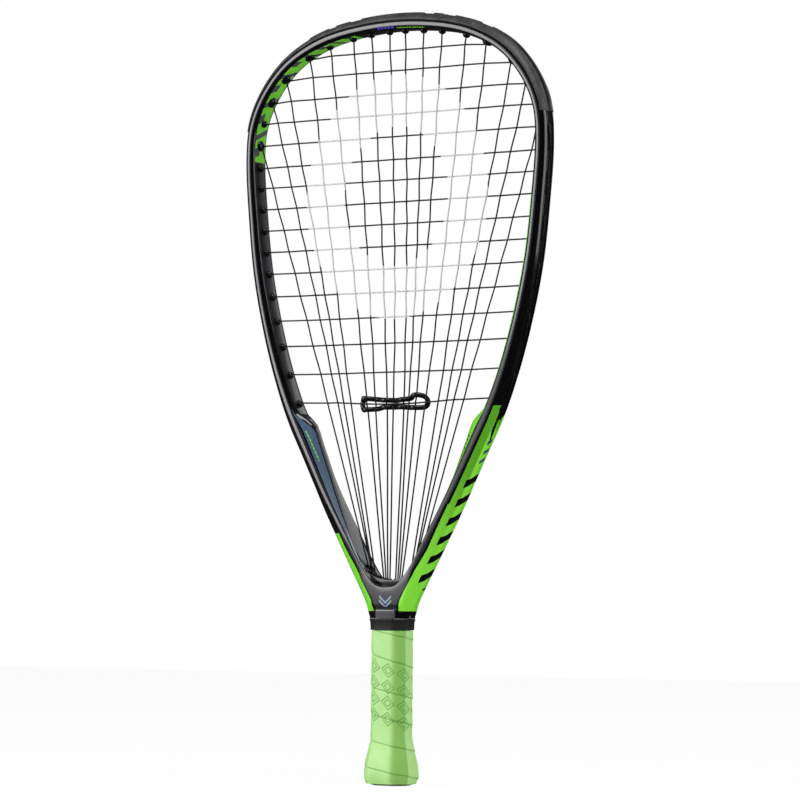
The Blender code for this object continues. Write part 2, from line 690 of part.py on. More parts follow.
def least_gap(points, diameter):
    """Smallest clear distance between a wire's runs, measured on points along it."""
    points = np.array(points)
    steps = np.linalg.norm(np.diff(points, axis=0), axis=1)
    along = np.concatenate(([0.0], np.cumsum(steps)))
    places = np.arange(0.0, along[-1], diameter)
    line = np.stack([np.interp(places, along, points[:, k]) for k in range(3)], axis=1)
    least = math.inf
    for i in range(len(line) - 1):
        later = slice(i + GAP_SKIP, None)
        if len(line[later]):
            least = min(least, float(np.linalg.norm(line[later] - line[i], axis=1).min()))
    return least - diameter


def head_place(t, out, y):
    """A point of the hoop by its signed distance round from the middle of the head."""
    return HOOP.place(HOOP.length - abs(t), out, y, 1 if t >= 0 else -1)


def head_arc(hole):
    """A hole's signed distance round from the middle of the head."""
    return hole.side * (HOOP.length - hole.s)


def lane(hole, kind):
    """Where a string lies across its hole: beside the other one where the hole is shared."""
    if not hole.shared:
        return 0.0
    return -SHARED_SPREAD / 2 if kind == "main" else SHARED_SPREAD / 2


def hole_entry(hole, kind):
    """A string's point just inside the head, straight out of its grommet."""
    return hole.tip(lane(hole, kind), PAST_TIP)


def groove_loop(first, second, kind):
    """A string's points out through one hole, along the groove and back in through the next."""
    t1, t2 = head_arc(first), head_arc(second)
    y1, y2 = lane(first, kind), lane(second, kind)
    turn = CORNER if t2 > t1 else -CORNER
    count = max(1, round(abs(t2 - t1) / GROOVE_STEP)) if first.height() > HEAD_BEND else 1
    made = [hole_entry(first, kind), first.point(groove_run(first.s) - CORNER, y1)]
    for share in np.linspace(0.0, 1.0, count + 1):
        t = t1 + turn + (t2 - t1 - 2 * turn) * share
        made.append(head_place(t, groove_run(HOOP.length - abs(t)), y1 + (y2 - y1) * share))
    return made + [second.point(groove_run(second.s) - CORNER, y2), hole_entry(second, kind)]


def groove_tail(hole, kind):
    """A string's free end: in through its hole from a short tail in the groove below it."""
    y = lane(hole, kind)
    t = head_arc(hole)
    down = 1 if t > 0 else -1
    made = [head_place(t + down * reach, groove_run(hole.s), y) for reach in (TAIL, CORNER)]
    return made + [hole.point(groove_run(hole.s) - CORNER, y), hole_entry(hole, kind)]


def main_hole(main):
    """The hole at the top of a main string."""
    return hole_for(1 if main > MAINS / 2 else -1, main=min(main, MAINS + 1 - main))


def main_x(main, z):
    """A main string's x at height z: a line from its foot, bowed a little by the weaving."""
    top = hole_entry(main_hole(main), "main")
    foot = foot_point(main, block_top(foot_line(main)[0]) + PAST_TIP)
    share = (z - foot.z) / (top.z - foot.z)
    return foot.x + (top.x - foot.x) * share + MAIN_BOW.get(main, 0.0) * math.sin(math.pi * share)


def cross_z(cross, x):
    """A cross string's height at x; the dampener draws the lowest one down in its middle."""
    z = CROSS_HEIGHTS[cross - 1]
    if cross == len(CROSS_HEIGHTS):
        z -= CROSS_SAG * max(0.0, math.cos(math.pi / 2 * min(1.0, abs(x) / SAG_REACH)))
    return z


def meets(main, cross):
    """Whether a main and a cross string cross inside the head."""
    z = CROSS_HEIGHTS[cross - 1]
    top = hole_entry(main_hole(main), "main")
    side = hole_entry(hole_for(1, cross=cross - 1), "cross")
    return z < top.z - MEETING_MARGIN and abs(main_x(main, z)) < side.x - MEETING_MARGIN


def weave_side(main, cross):
    """The side on which a main string passes a cross string, front or back."""
    return WEAVE if (main + cross) % 2 == 0 else -WEAVE


def strand_heights(x):
    """Heights of the dampener's upper and lower strands at x."""
    right = max(range(len(DAMPENER_LOOP)), key=lambda k: DAMPENER_LOOP[k][0])
    upper = DAMPENER_LOOP[:right]
    lower = DAMPENER_LOOP[:right:-1]
    return [float(np.interp(x, [point[0] for point in strand], [point[1] for point in strand]))
            for strand in (upper, lower)]


def main_points(main):
    """A main string's points between its ends, from the top down, at each crossing and strand."""
    made = []
    for cross in range(1, len(CROSS_HEIGHTS) + 1):
        if meets(main, cross):
            z = cross_z(cross, main_x(main, CROSS_HEIGHTS[cross - 1]))
            made.append(Vector((main_x(main, z), weave_side(main, cross), z)))
    if main in DAMPED_MAINS:
        for z in strand_heights(main_x(main, CROSS_HEIGHTS[-1])):
            side = WEAVE if main % 2 else -WEAVE
            made.append(Vector((main_x(main, z), side, z)))
    return sorted(made, key=lambda point: -point.z)


def cross_points(cross):
    """A cross string's points between its ends, from left to right, one at each crossing."""
    z = CROSS_HEIGHTS[cross - 1]
    crossed = [main for main in range(1, MAINS + 1) if meets(main, cross)]
    return [Vector((main_x(main, z), -weave_side(main, cross), cross_z(cross, main_x(main, z))))
            for main in crossed]


def foot_turn(first, second):
    """The turn under the throat block, from one main string's foot to its neighbour's."""
    low = BLOCK_FOOT - STRING_DIAMETER / 4
    down = [foot_point(first, block_top(foot_line(first)[0]) + PAST_TIP), foot_point(first, low)]
    up = [foot_point(second, low), foot_point(second, block_top(foot_line(second)[0]) + PAST_TIP)]
    start, end = down[1], up[0]
    middle = (start + end) / 2
    drop = Vector((0, 0, -STRING_DIAMETER))
    bends = [start + drop + (middle - start) / 4, middle + drop, end + drop + (middle - end) / 4]
    return down + bends + up


def make_main_string():
    """The main string: sixteen runs, turned under the throat block and over the head."""
    route = groove_tail(main_hole(1), "main")
    for main in range(1, MAINS + 1):
        run = main_points(main)
        route += run if main % 2 else run[::-1]
        if main % 2:
            route += foot_turn(main, main + 1)
        elif main < MAINS:
            route += groove_loop(main_hole(main), main_hole(main + 1), "main")
    route += groove_tail(main_hole(16), "main")[::-1]
    print("main string: least gap to itself %.2f mm" % (1000 * least_gap(route, STRING_DIAMETER)))
    return tube("main_string", route, STRING_DIAMETER / 2, STRING_RESOLUTION, PARTS, STRING_BLACK)


def make_cross_string():
    """The cross string: sixteen runs woven through the mains, turned in the grooves."""
    route = groove_tail(hole_for(-1, cross=0), "cross")
    for cross in range(1, len(CROSS_HEIGHTS) + 1):
        run = cross_points(cross)
        side = 1 if cross % 2 else -1
        route += run if cross % 2 else run[::-1]
        if cross < len(CROSS_HEIGHTS):
            route += groove_loop(hole_for(side, cross=cross - 1), hole_for(side, cross=cross), "cross")
    route += groove_tail(hole_for(-1, cross=len(CROSS_HEIGHTS) - 1), "cross")[::-1]
    print("cross string: least gap to itself %.2f mm" % (1000 * least_gap(route, STRING_DIAMETER)))
    return tube("cross_string", route, STRING_DIAMETER / 2, STRING_RESOLUTION, PARTS, STRING_BLACK)


def dampener_side(x, z):
    """How far the dampener stands off the string plane: before odd mains and behind even ones."""
    columns = [DAMPENER_LEFT] + [main_x(main, z) for main in DAMPED_MAINS]
    number = float(np.interp(x, columns, range(DAMPED_MAINS[0] - 1, DAMPED_MAINS[-1] + 1)))
    return DAMPENER_WEAVE * math.cos(math.pi * number)


def make_dampener():
    """The soft band woven across the strings under the lowest cross."""
    loop = spline(DAMPENER_LOOP + DAMPENER_LOOP[:1], DAMPENER_RINGS + 1)[:-1]
    route = [Vector((x, dampener_side(x, z), z)) for x, z in loop]
    return tube("vibration_dampener", route, DAMPENER_STRAND / 2, 1, PARTS, SOFT_RUBBER, cyclic=True)


def handle_octagon(offset, z):
    """Eight points round the handle at height z, offset from the pallets' outside."""
    return octagon(PALLET_WIDTH / 2 + offset, PALLET_DEPTH / 2 + offset,
                   PALLET_BEVEL + (2 - math.sqrt(2)) * offset, z)


def flare(z):
    """How far the butt's flare stands out at height z."""
    if z >= FLARE_HEIGHT:
        share = min(1.0, (FLARE_TOP - z) / (FLARE_TOP - FLARE_HEIGHT)) if z < FLARE_TOP else 0.0
        return FLARE_REACH * share * share * (3 - 2 * share)
    share = (FLARE_HEIGHT - max(z, 0.0)) / FLARE_HEIGHT
    return FLARE_REACH - FLARE_ROUND * (1 - math.sqrt(max(0.0, 1 - share * share)))


def staple_places():
    """Where the staples sit: the middle of each crown, and the side it faces."""
    return [(across * STAPLE_SPACING / 2, side) for side in (-1, 1) for across in (-1, 1)]


def crown_depth(gap=0.0):
    """Distance from the handle's middle plane to the middle of a staple's crown."""
    return PALLET_DEPTH / 2 + flare(STAPLE_HEIGHT) - STAPLE_WIRE / 2 - STAPLE_SINK + gap


def staple_slot(index, x, side):
    """The staple's room in the cap and the pallet: a slot for the crown and its two legs."""
    reach = STAPLE_WIRE / 2 + CLEARANCE
    half = STAPLE_CROWN / 2
    outer = side * (crown_depth() + STAPLE_LEG)
    floor = side * (crown_depth() - reach)
    deep = side * (crown_depth() - STAPLE_LEG - CLEARANCE)
    outline = [(-half - reach, outer), (half + reach, outer), (half + reach, deep), (half - reach, deep),
               (half - reach, floor), (-half + reach, floor), (-half + reach, deep), (-half - reach, deep)]
    bm = bmesh.new()
    levels = [[bm.verts.new((x + u, y, STAPLE_HEIGHT + z)) for u, y in outline] for z in (-reach, reach)]
    bm.faces.new(levels[0])
    bm.faces.new(levels[1][::-1])
    for k in range(len(outline)):
        m = (k + 1) % len(outline)
        bm.faces.new((levels[0][m], levels[0][k], levels[1][k], levels[1][m]))
    bmesh.ops.recalc_face_normals(bm, faces=bm.faces)
    return add_mesh("staple_slot_%d" % index, bm, CUTTERS)


def make_staple(index, x, side):
    """A bent wire staple through the cap into a pallet."""
    half = STAPLE_CROWN / 2
    outer, deep = side * crown_depth(), side * (crown_depth() - STAPLE_LEG)
    points = [(x - half, deep), (x - half, outer - side * STAPLE_WIRE), (x - half + STAPLE_WIRE, outer),
              (x + half - STAPLE_WIRE, outer), (x + half, outer - side * STAPLE_WIRE), (x + half, deep)]
    return tube("butt_cap_staple_%d" % index, [(u, y, STAPLE_HEIGHT) for u, y in points],
                STAPLE_WIRE / 2, 1, PARTS, STEEL)


def make_pallets(slots):
    """The octagonal moulding round the shaft, in a front and a back half."""
    bottom = CAP_FLOOR + CAP_ROOM
    room = loft("shaft_room", [octagon(SHAFT_WIDTH / 2 + CLEARANCE, SHAFT_DEPTH / 2 + CLEARANCE,
                                       SHAFT_BEVEL, z)
                               for z in (SHAFT_BOTTOM - CLEARANCE, PALLET_TOP + CAP_ROOM)], CUTTERS)
    for name, side in (("handle_pallet_front", -1), ("handle_pallet_back", 1)):
        pallet = loft(name, [handle_octagon(0.0, z) for z in (bottom, PALLET_TOP)], PARTS, PALLET_FOAM)
        far = PALLET_DEPTH
        outline = [(-PALLET_WIDTH, -side * far), (PALLET_WIDTH, -side * far),
                   (PALLET_WIDTH, side * CLEARANCE / 2), (-PALLET_WIDTH, side * CLEARANCE / 2)]
        other = loft(name + "_other_half", [[(x, y, z) for x, y in outline]
                                            for z in (bottom - CAP_ROOM, PALLET_TOP + CAP_ROOM)], CUTTERS)
        cut(pallet, other)
        cut(pallet, room)
        for slot, (_, slot_side) in zip(slots, staple_places()):
            if slot_side == side:
                cut(pallet, slot)


def make_butt_cap(slots):
    """The flared cap over the pallets' lower end, with the hole for the wrist cord."""
    heights = (0.0, *FLARE_RINGS, CAP_SKIRT)
    cap = loft("butt_cap", [handle_octagon(flare(z), z) for z in heights], PARTS, GUARD_PLASTIC)
    cut(cap, loft("cap_inside", [handle_octagon(CLEARANCE, z) for z in (CAP_FLOOR, CAP_SKIRT + CAP_ROOM)],
                  CUTTERS))
    bm = bmesh.new()
    rod_between(bm, (0, 0, -CAP_FLOOR), (0, 0, 2 * CAP_FLOOR), CORD_HOLE / 2, CORD_HOLE_SIDES)
    cut(cap, add_mesh("cord_hole", bm, CUTTERS))
    for slot in slots:
        cut(cap, slot)
    return cap


def grip_ring(offset_at, bottom_at):
    """Sixteen points round the handle, each at its own height: the octagon with its corners rounded."""
    made = []
    for k in range(GRIP_COLUMNS):
        z = bottom_at(k / GRIP_COLUMNS)
        corners = [Vector(point) for point in handle_octagon(offset_at(z), z)]
        corner = corners[k // 2]
        toward = corners[k // 2 - 1] if k % 2 == 0 else corners[(k // 2 + 1) % 8]
        made.append(tuple(corner + (toward - corner).normalized() * GRIP_CORNER))
    return made


def make_grip_wrap():
    """The band wound up the handle, each turn lapped over the last and stepped at its seam."""
    turns = math.ceil((GRIP_TOP - GRIP_BOTTOM) / GRIP_PITCH) + 2
    sections = []
    for turn in range(-1, turns):
        for share in GRIP_ROW_RATIOS:
            start = GRIP_SEAM + (turn - 1 + share) * GRIP_PITCH
            lap = GRIP_LAP * (1 - share)
            sections.append(grip_ring(lambda z, lap=lap: GRIP_THICKNESS + CLEARANCE + flare(z) + lap,
                                      lambda around, start=start: start - around * GRIP_PITCH))
    wrap = loft("grip_wrap", sections, PARTS, GRIP_GREEN)
    wide = PALLET_WIDTH
    for name, low, high in (("grip_below", -GRIP_PITCH * 3, GRIP_BOTTOM),
                            ("grip_above", GRIP_TOP, GRIP_TOP + GRIP_PITCH * 4)):
        cut(wrap, loft(name, [octagon(wide, wide, CLEARANCE, z) for z in (low, high)], CUTTERS))
    step = CAP_SKIRT + CLEARANCE
    inside = [handle_octagon(flare(z) + CLEARANCE, z) for z in (-CAP_FLOOR, *FLARE_RINGS, step)]
    inside += [handle_octagon(CLEARANCE, z) for z in (step + CLEARANCE, GRIP_TOP + GRIP_PITCH)]
    cut(wrap, loft("grip_inside", inside, CUTTERS))
    return wrap


def sleeve(name, profile, finish):
    """A sleeve round the handle from (offset, z) pairs, up the outside and down the inside."""
    return loft(name, [handle_octagon(offset, z) for offset, z in profile], PARTS, finish, ring=True)


def make_tape_and_collar():
    """The tape over the pallets above the wrap, and the rubber collar over the tape."""
    under = CLEARANCE
    over = under + TAPE_THICKNESS
    low = GRIP_TOP + CLEARANCE
    sleeve("finishing_tape", [(over, low + CLEARANCE), (over, TAPE_TOP), (under, TAPE_TOP),
                              (under, low + CLEARANCE)], TAPE_BLACK)
    inner = over + CLEARANCE
    body = inner + COLLAR_WALL
    lip = body + COLLAR_LIP
    rim = COLLAR_WALL / 2
    profile = [(body, low), (lip, low + rim / 2), (lip, low + rim), (body, low + 2 * rim),
               (body, COLLAR_TOP - 2 * rim), (lip, COLLAR_TOP - rim), (lip, COLLAR_TOP - rim / 2),
               (body, COLLAR_TOP), (inner, COLLAR_TOP), (inner, low)]
    sleeve("grip_collar", profile, SOFT_RUBBER)


def main():
    """Make every piece of the racket."""
    make_frame()
    make_bumper_guard()
    make_grommet_strip("grommet_strip_right", 1)
    make_grommet_strip("grommet_strip_left", -1)
    make_throat_block()
    make_main_string()
    make_cross_string()
    make_dampener()
    slots = [staple_slot(index, x, side) for index, (x, side) in enumerate(staple_places(), 1)]
    make_pallets(slots)
    make_butt_cap(slots)
    for index, (x, side) in enumerate(staple_places(), 1):
        make_staple(index, x, side)
    make_grip_wrap()
    make_tape_and_collar()


main()
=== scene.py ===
"""Looks of the racquetball racket: its paint, plastics, strings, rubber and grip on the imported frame.

Metres, +Z up. The butt's end is at the origin, the strings lie in XZ and the front faces -Y.
"""
import logging
import math
from dataclasses import dataclass
from enum import Enum
from typing import Callable, Iterable, Sequence, Union

import bpy
import numpy as np
from mathutils import Matrix, Vector


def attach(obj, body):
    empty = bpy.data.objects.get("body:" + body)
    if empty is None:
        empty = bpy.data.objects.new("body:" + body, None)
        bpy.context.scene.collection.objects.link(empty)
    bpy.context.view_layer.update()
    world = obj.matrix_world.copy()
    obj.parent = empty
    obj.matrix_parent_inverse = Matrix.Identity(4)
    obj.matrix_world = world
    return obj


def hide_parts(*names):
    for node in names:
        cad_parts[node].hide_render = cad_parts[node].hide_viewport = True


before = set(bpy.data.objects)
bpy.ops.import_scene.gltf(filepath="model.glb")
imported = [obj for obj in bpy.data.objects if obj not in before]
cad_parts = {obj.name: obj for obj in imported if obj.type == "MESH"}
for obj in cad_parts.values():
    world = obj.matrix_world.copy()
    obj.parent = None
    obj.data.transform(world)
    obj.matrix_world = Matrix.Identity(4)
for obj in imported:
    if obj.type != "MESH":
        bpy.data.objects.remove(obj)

LOG = logging.getLogger("racket")
Piece = bpy.types.Object
Finish = bpy.types.Material
Socket = bpy.types.NodeSocket
Value = Union["Signal", float]
Layers = list[tuple[object, "Signal"]]
Named = list[tuple[Piece, str]]
Span = tuple[float, float]
Rows = Sequence[Span]
Point = tuple[float, float, float]
# The clearance between pieces, and the edges that are numbered round the beam.
GAP = 0.0003
EDGES = 16


class Side(Enum):
    """A side of the racket, as the sign of x."""

    LEFT = -1
    RIGHT = 1


class Cord(Enum):
    """The two strings of the bed, with their lane across a hole that both use."""

    MAIN = -1
    CROSS = 1


# ---------------------------------------------------------------- shaders

def linear(code: str) -> tuple[float, float, float, float]:
    """Turn a colour written as six hex digits into linear light.

    Args:
        code: The colour as rrggbb.

    Returns:
        Red, green, blue and alpha for a socket.
    """
    parts = [int(code[k:k + 2], 16) / 255 for k in (0, 2, 4)]
    light = [c / 12.92 if c <= 0.04045 else ((c + 0.055) / 1.055) ** 2.4 for c in parts]
    return light[0], light[1], light[2], 1.0


class Signal:
    """A number that varies over a surface: a shader socket with arithmetic."""

    def __init__(self, board: "Board", socket: Socket) -> None:
        """Hold a socket and the board that makes its nodes."""
        self.board = board
        self.socket = socket

    def _with(self, operation: str, *values: Value) -> "Signal":
        """Add one Math node that takes these values in order."""
        made = self.board.node("ShaderNodeMath", dict(enumerate(values)), operation=operation)
        return Signal(self.board, made.outputs[0])

    def __add__(self, other: Value) -> "Signal":
        """Sum."""
        return self._with("ADD", self, other)

    __radd__ = __add__

    def __sub__(self, other: Value) -> "Signal":
        """Difference."""
        return self._with("SUBTRACT", self, other)

    def __rsub__(self, other: Value) -> "Signal":
        """Difference from a number."""
        return self._with("SUBTRACT", other, self)

    def __mul__(self, other: Value) -> "Signal":
        """Product."""
        return self._with("MULTIPLY", self, other)

    __rmul__ = __mul__

    def __truediv__(self, other: Value) -> "Signal":
        """Quotient."""
        return self._with("DIVIDE", self, other)

    def __gt__(self, other: Value) -> "Signal":
        """One where this is the larger."""
        return self._with("GREATER_THAN", self, other)

    def __lt__(self, other: Value) -> "Signal":
        """One where this is the smaller."""
        return self._with("LESS_THAN", self, other)

    def __or__(self, other: Value) -> "Signal":
        """The larger of two masks."""
        return self._with("MAXIMUM", self, other)

    def __abs__(self) -> "Signal":
        """Size without sign."""
        return self._with("ABSOLUTE", self)

    def fraction(self) -> "Signal":
        """The part after the decimal point."""
        return self._with("FRACT", self)

    def within(self, low: Value, high: Value) -> "Signal":
        """One between two limits."""
        return (self > low) * (self < high)

    def step(self, low: float, high: float) -> "Signal":
        """Rise smoothly from 0 at low to 1 at high, or fall where low is the larger."""
        made = self.board.node("ShaderNodeMapRange", {0: self, 1: low, 2: high, 3: 0.0, 4: 1.0},
                               interpolation_type="SMOOTHSTEP")
        return Signal(self.board, made.outputs[0])

    def table(self, rows: Rows) -> "Signal":
        """Read a value from straight lines between (place, value) rows.

        Args:
            rows: Rising places and their values, which lie from 0 to 1.

        Returns:
            The value here.
        """
        low, reach = rows[0][0], rows[-1][0] - rows[0][0]
        stops = [((place - low) / reach, (value, value, value, 1.0)) for place, value in rows]
        made = self.board.node("ShaderNodeValToRGB", {0: (self - low) / reach}, stops)
        return Signal(self.board, made.outputs[0])


class Board:
    """A drawing board of nodes, which all come from one method."""

    def __init__(self, tree: bpy.types.NodeTree) -> None:
        """Start on an empty tree."""
        self.tree = tree
        tree.nodes.clear()

    def node(self, kind: str, sockets: dict | None = None, stops: Sequence[tuple] = (),
             **settings: object) -> bpy.types.Node:
        """Add a node.

        Args:
            kind: The node's type.
            sockets: Values or links of its inputs, by name or number. A string is a colour's hex digits.
            stops: A ramp's places and colours.
            settings: What is set on the node first.

        Returns:
            The node.
        """
        made = self.tree.nodes.new(kind)
        for name, value in settings.items():
            setattr(made, name, value)
        if stops:
            elements = made.color_ramp.elements
            while len(elements) < len(stops):
                elements.new(0.5)
            for element, (place, _) in zip(elements, stops):
                element.position = place
            for element, (_, colour) in zip(elements, stops):
                element.color = colour
        for name, value in (sockets or {}).items():
            value = value.socket if isinstance(value, Signal) else value
            if isinstance(value, Socket):
                self.tree.links.new(value, made.inputs[name])
            else:
                made.inputs[name].default_value = linear(value) if isinstance(value, str) else value
        return made

    def blend(self, mask: Value | Socket, under: Socket, over: Socket) -> Socket:
        """Show one shader in place of another as far as a mask is one."""
        return self.node("ShaderNodeMixShader", {0: mask, 1: under, 2: over}).outputs[0]


class Desk(Board):
    """One material, with the place on the object and on its UV map to work from."""

    def __init__(self, name: str) -> None:
        """Start a material with nothing on it."""
        self.material = bpy.data.materials.new(name)
        self.material.use_nodes = True
        super().__init__(self.material.node_tree)
        source = self.node("ShaderNodeTexCoord").outputs
        self.place = source["Object"]
        self.x, self.y, self.z = self.parts(self.place)
        self.u, self.v, _ = self.parts(source["UV"])

    def parts(self, vector: Socket) -> list[Signal]:
        """Split a vector into its three numbers."""
        made = self.node("ShaderNodeSeparateXYZ", {0: vector})
        return [Signal(self, output) for output in made.outputs]

    def paint(self, under: object, over: object, mask: Value) -> Socket:
        """Lay one colour over another, each a socket, four numbers or hex digits, where a mask is one."""
        return self.node("ShaderNodeMix", {0: mask, 6: under, 7: over}, data_type="RGBA").outputs[2]

    def layers(self, colour: object, layers: Layers) -> object:
        """Lay colours over one another, each where its mask is one.

        Args:
            colour: The lowest colour.
            layers: The further colours and their masks, from the lowest up.

        Returns:
            The colour on top.
        """
        for over, mask in layers:
            colour = self.paint(colour, over, mask)
        return colour

    def noise(self, scale: float, detail: float = 2.0) -> Signal:
        """Spread noise from 0 to 1 over the piece, in lumps per metre with so many finer layers."""
        made = self.node("ShaderNodeTexNoise", {"Vector": self.place, "Scale": scale, "Detail": detail})
        return Signal(self, made.outputs[0])

    def shader(self, colour: object, roughness: Value, height: Signal | None = None, depth: float = 0.0,
               **others: Value) -> Socket:
        """Add the shader with its colour, roughness and relief.

        Args:
            colour: The base colour.
            roughness: The roughness.
            height: Relief from 0 to 1, if any.
            depth: The relief's height in metres.
            others: Further values, by socket name with underscores.

        Returns:
            The shader.
        """
        inputs = {"Base Color": colour, "Roughness": roughness}
        inputs |= {name.replace("_", " "): value for name, value in others.items()}
        if height is not None:
            bump = self.node("ShaderNodeBump", {"Height": height, "Distance": depth, "Strength": 1.0})
            inputs["Normal"] = bump.outputs[0]
        return self.node("ShaderNodeBsdfPrincipled", inputs).outputs[0]

    def close(self, shader: Socket) -> Finish:
        """Put a shader on the material's output."""
        self.node("ShaderNodeOutputMaterial", {0: shader})
        return self.material

    def finish(self, *looks: object, **others: Value) -> Finish:
        """Finish the material with one shader, from what shader() takes."""
        return self.close(self.shader(*looks, **others))


# ---------------------------------------------------------------- bench

class Bench:
    """Modelling by operators, with everything else deselected first."""

    @staticmethod
    def take(item: Piece) -> Piece:
        """Select one object alone and make it active."""
        bpy.ops.object.select_all(action="DESELECT")
        item.select_set(True)
        bpy.context.view_layer.objects.active = item
        return item

    @staticmethod
    def settle(item: Piece, name: str, finish: Finish, sharp: float = 32.0,
               merge: float = 1e-6, caps: bool = False) -> Piece:
        """Merge doubles, close ends, point faces outwards and shade a finished piece.

        Args:
            item: The piece.
            name: Its name.
            finish: Its material.
            sharp: Edges over this angle stay sharp, in degrees.
            merge: Distance within which points become one.
            caps: Whether open ends are closed.

        Returns:
            The piece, at the origin.
        """
        Bench.take(item)
        bpy.ops.object.mode_set(mode="EDIT")
        bpy.ops.mesh.select_all(action="SELECT")
        bpy.ops.mesh.remove_doubles(threshold=merge)
        bpy.ops.mesh.dissolve_degenerate(threshold=merge / 2)
        if caps:
            bpy.ops.mesh.fill_holes(sides=0)
        bpy.ops.mesh.select_all(action="SELECT")
        bpy.ops.mesh.normals_make_consistent(inside=False)
        bpy.ops.object.mode_set(mode="OBJECT")
        bpy.ops.object.transform_apply(location=True, rotation=True, scale=True)
        bpy.ops.object.shade_smooth_by_angle(angle=math.radians(sharp))
        item.name = item.data.name = name
        item.data.materials.clear()
        item.data.materials.append(finish)
        return item

    @staticmethod
    def sheet(points: np.ndarray, flat: np.ndarray | None = None) -> Piece:
        """Shape a grid into a surface.

        Args:
            points: Places of the grid's points, as columns by rows by 3.
            flat: The same for the UV map, as columns by rows by 2.

        Returns:
            The surface, with its doubles still in it.
        """
        columns, rows = points.shape[:2]
        bpy.ops.object.select_all(action="DESELECT")
        bpy.ops.mesh.primitive_grid_add(x_subdivisions=columns - 1, y_subdivisions=rows - 1, size=2.0)
        item = bpy.context.active_object
        mesh = item.data
        start = np.zeros(len(mesh.vertices) * 3)
        mesh.vertices.foreach_get("co", start)
        start = start.reshape(-1, 3)
        i = np.rint((start[:, 0] + 1) / 2 * (columns - 1)).astype(int)
        j = np.rint((start[:, 1] + 1) / 2 * (rows - 1)).astype(int)
        mesh.vertices.foreach_set("co", points[i, j].ravel())
        if flat is not None:
            corner = np.zeros(len(mesh.loops), int)
            mesh.loops.foreach_get("vertex_index", corner)
            mesh.uv_layers.active.data.foreach_set("uv", flat[i[corner], j[corner]].ravel())
        mesh.update()
        return item

    @staticmethod
    def wire(points: Sequence[Vector], radius: float, sides: int, closed: bool = False) -> Piece:
        """Draw a round wire through points and turn it into a mesh.

        Args:
            points: The wire's middle line.
            radius: Half its thickness.
            sides: Steps in a quarter of its round.
            closed: Whether it joins its own start.

        Returns:
            The wire.
        """
        line = bpy.data.curves.new("wire", "CURVE")
        line.dimensions = "3D"
        line.bevel_depth = radius
        line.bevel_resolution = sides
        line.use_fill_caps = True
        run = line.splines.new("POLY")
        run.points.add(len(points) - 1)
        run.points.foreach_set("co", np.array([(*p, 1.0) for p in points], float).ravel())
        run.use_cyclic_u = closed
        item = bpy.data.objects.new("wire", line)
        bpy.context.scene.collection.objects.link(item)
        Bench.take(item)
        bpy.ops.object.convert(target="MESH")
        return bpy.context.active_object

    @staticmethod
    def copies(model: Piece, places: Iterable[Matrix]) -> Piece:
        """Set copies of a model at places and join them into one piece.

        Args:
            model: The model, which is used up.
            places: Where each copy goes.

        Returns:
            The joined piece.
        """
        made = []
        for place in places:
            twin = model.copy()
            twin.data = model.data.copy()
            twin.data.transform(place)
            bpy.context.scene.collection.objects.link(twin)
            made.append(twin)
        bpy.data.objects.remove(model)
        Bench.take(made[0])
        for twin in made:
            twin.select_set(True)
        bpy.ops.object.join()
        return bpy.context.active_object

    @staticmethod
    def modify(item: Piece, kind: str, **settings: object) -> None:
        """Add a modifier and apply it.

        Args:
            item: The piece.
            kind: The modifier's type.
            settings: Its settings.
        """
        Bench.take(item)
        made = item.modifiers.new(kind.lower(), kind)
        for name, value in settings.items():
            setattr(made, name, value)
        bpy.ops.object.modifier_apply(modifier=made.name)


def rounded(corners: Sequence[Sequence[float]], radii: Sequence[float], steps: int = 4,
            lengths: int = 2, most: float = 0.45) -> np.ndarray:
    """Round the corners of an open outline.

    Args:
        corners: The outline's corners, of any number of numbers each.
        radii: Each corner's rounding. The first and last corner stay.
        steps: Points that make one rounded corner.
        lengths: How many of a corner's numbers are places, the rest being carried along.
        most: The largest share of an edge that a rounding takes.

    Returns:
        The rounded outline.
    """
    corners = np.array(corners, float)
    made = [corners[0]]
    for k in range(1, len(corners) - 1):
        here = corners[k]
        ends = []
        for other in (corners[k - 1], corners[k + 1]):
            length = np.linalg.norm((other - here)[:lengths])
            share = min(most, radii[k] / length) if length > 0 else 0.0
            ends.append(here + share * (other - here))
        for t in np.linspace(0.0, 1.0, steps):
            made.append((1 - t) ** 2 * ends[0] + 2 * t * (1 - t) * here + t * t * ends[1])
    made.append(corners[-1])
    return np.array(made)


def read(rows: Rows, place: float) -> float:
    """Read a value from rows of (place, value)."""
    return float(np.interp(place, [row[0] for row in rows], [row[1] for row in rows]))


def mirrored(right: Sequence[Span], middle: Sequence[Span] = ()) -> list[Span]:
    """Close the right half of an outline with its mirror image, past any points on the middle line."""
    return [*right, *middle, *((-x, z) for x, z in reversed(right))]


def octagon(width: float, depth: float, across: float, deep: float) -> list[Span]:
    """List an octagon's corners, round from its right face.

    Args:
        width: Its size in x.
        depth: Its size in y.
        across: How much of the width each bevel takes.
        deep: How much of the depth each bevel takes.

    Returns:
        The corners as (x, y).
    """
    w, d = width / 2, depth / 2
    return [(w, deep - d), (w, d - deep), (w - across, d), (across - w, d), (-w, d - deep), (-w, deep - d),
            (across - w, -d), (w - across, -d)]


# ---------------------------------------------------------------- beam

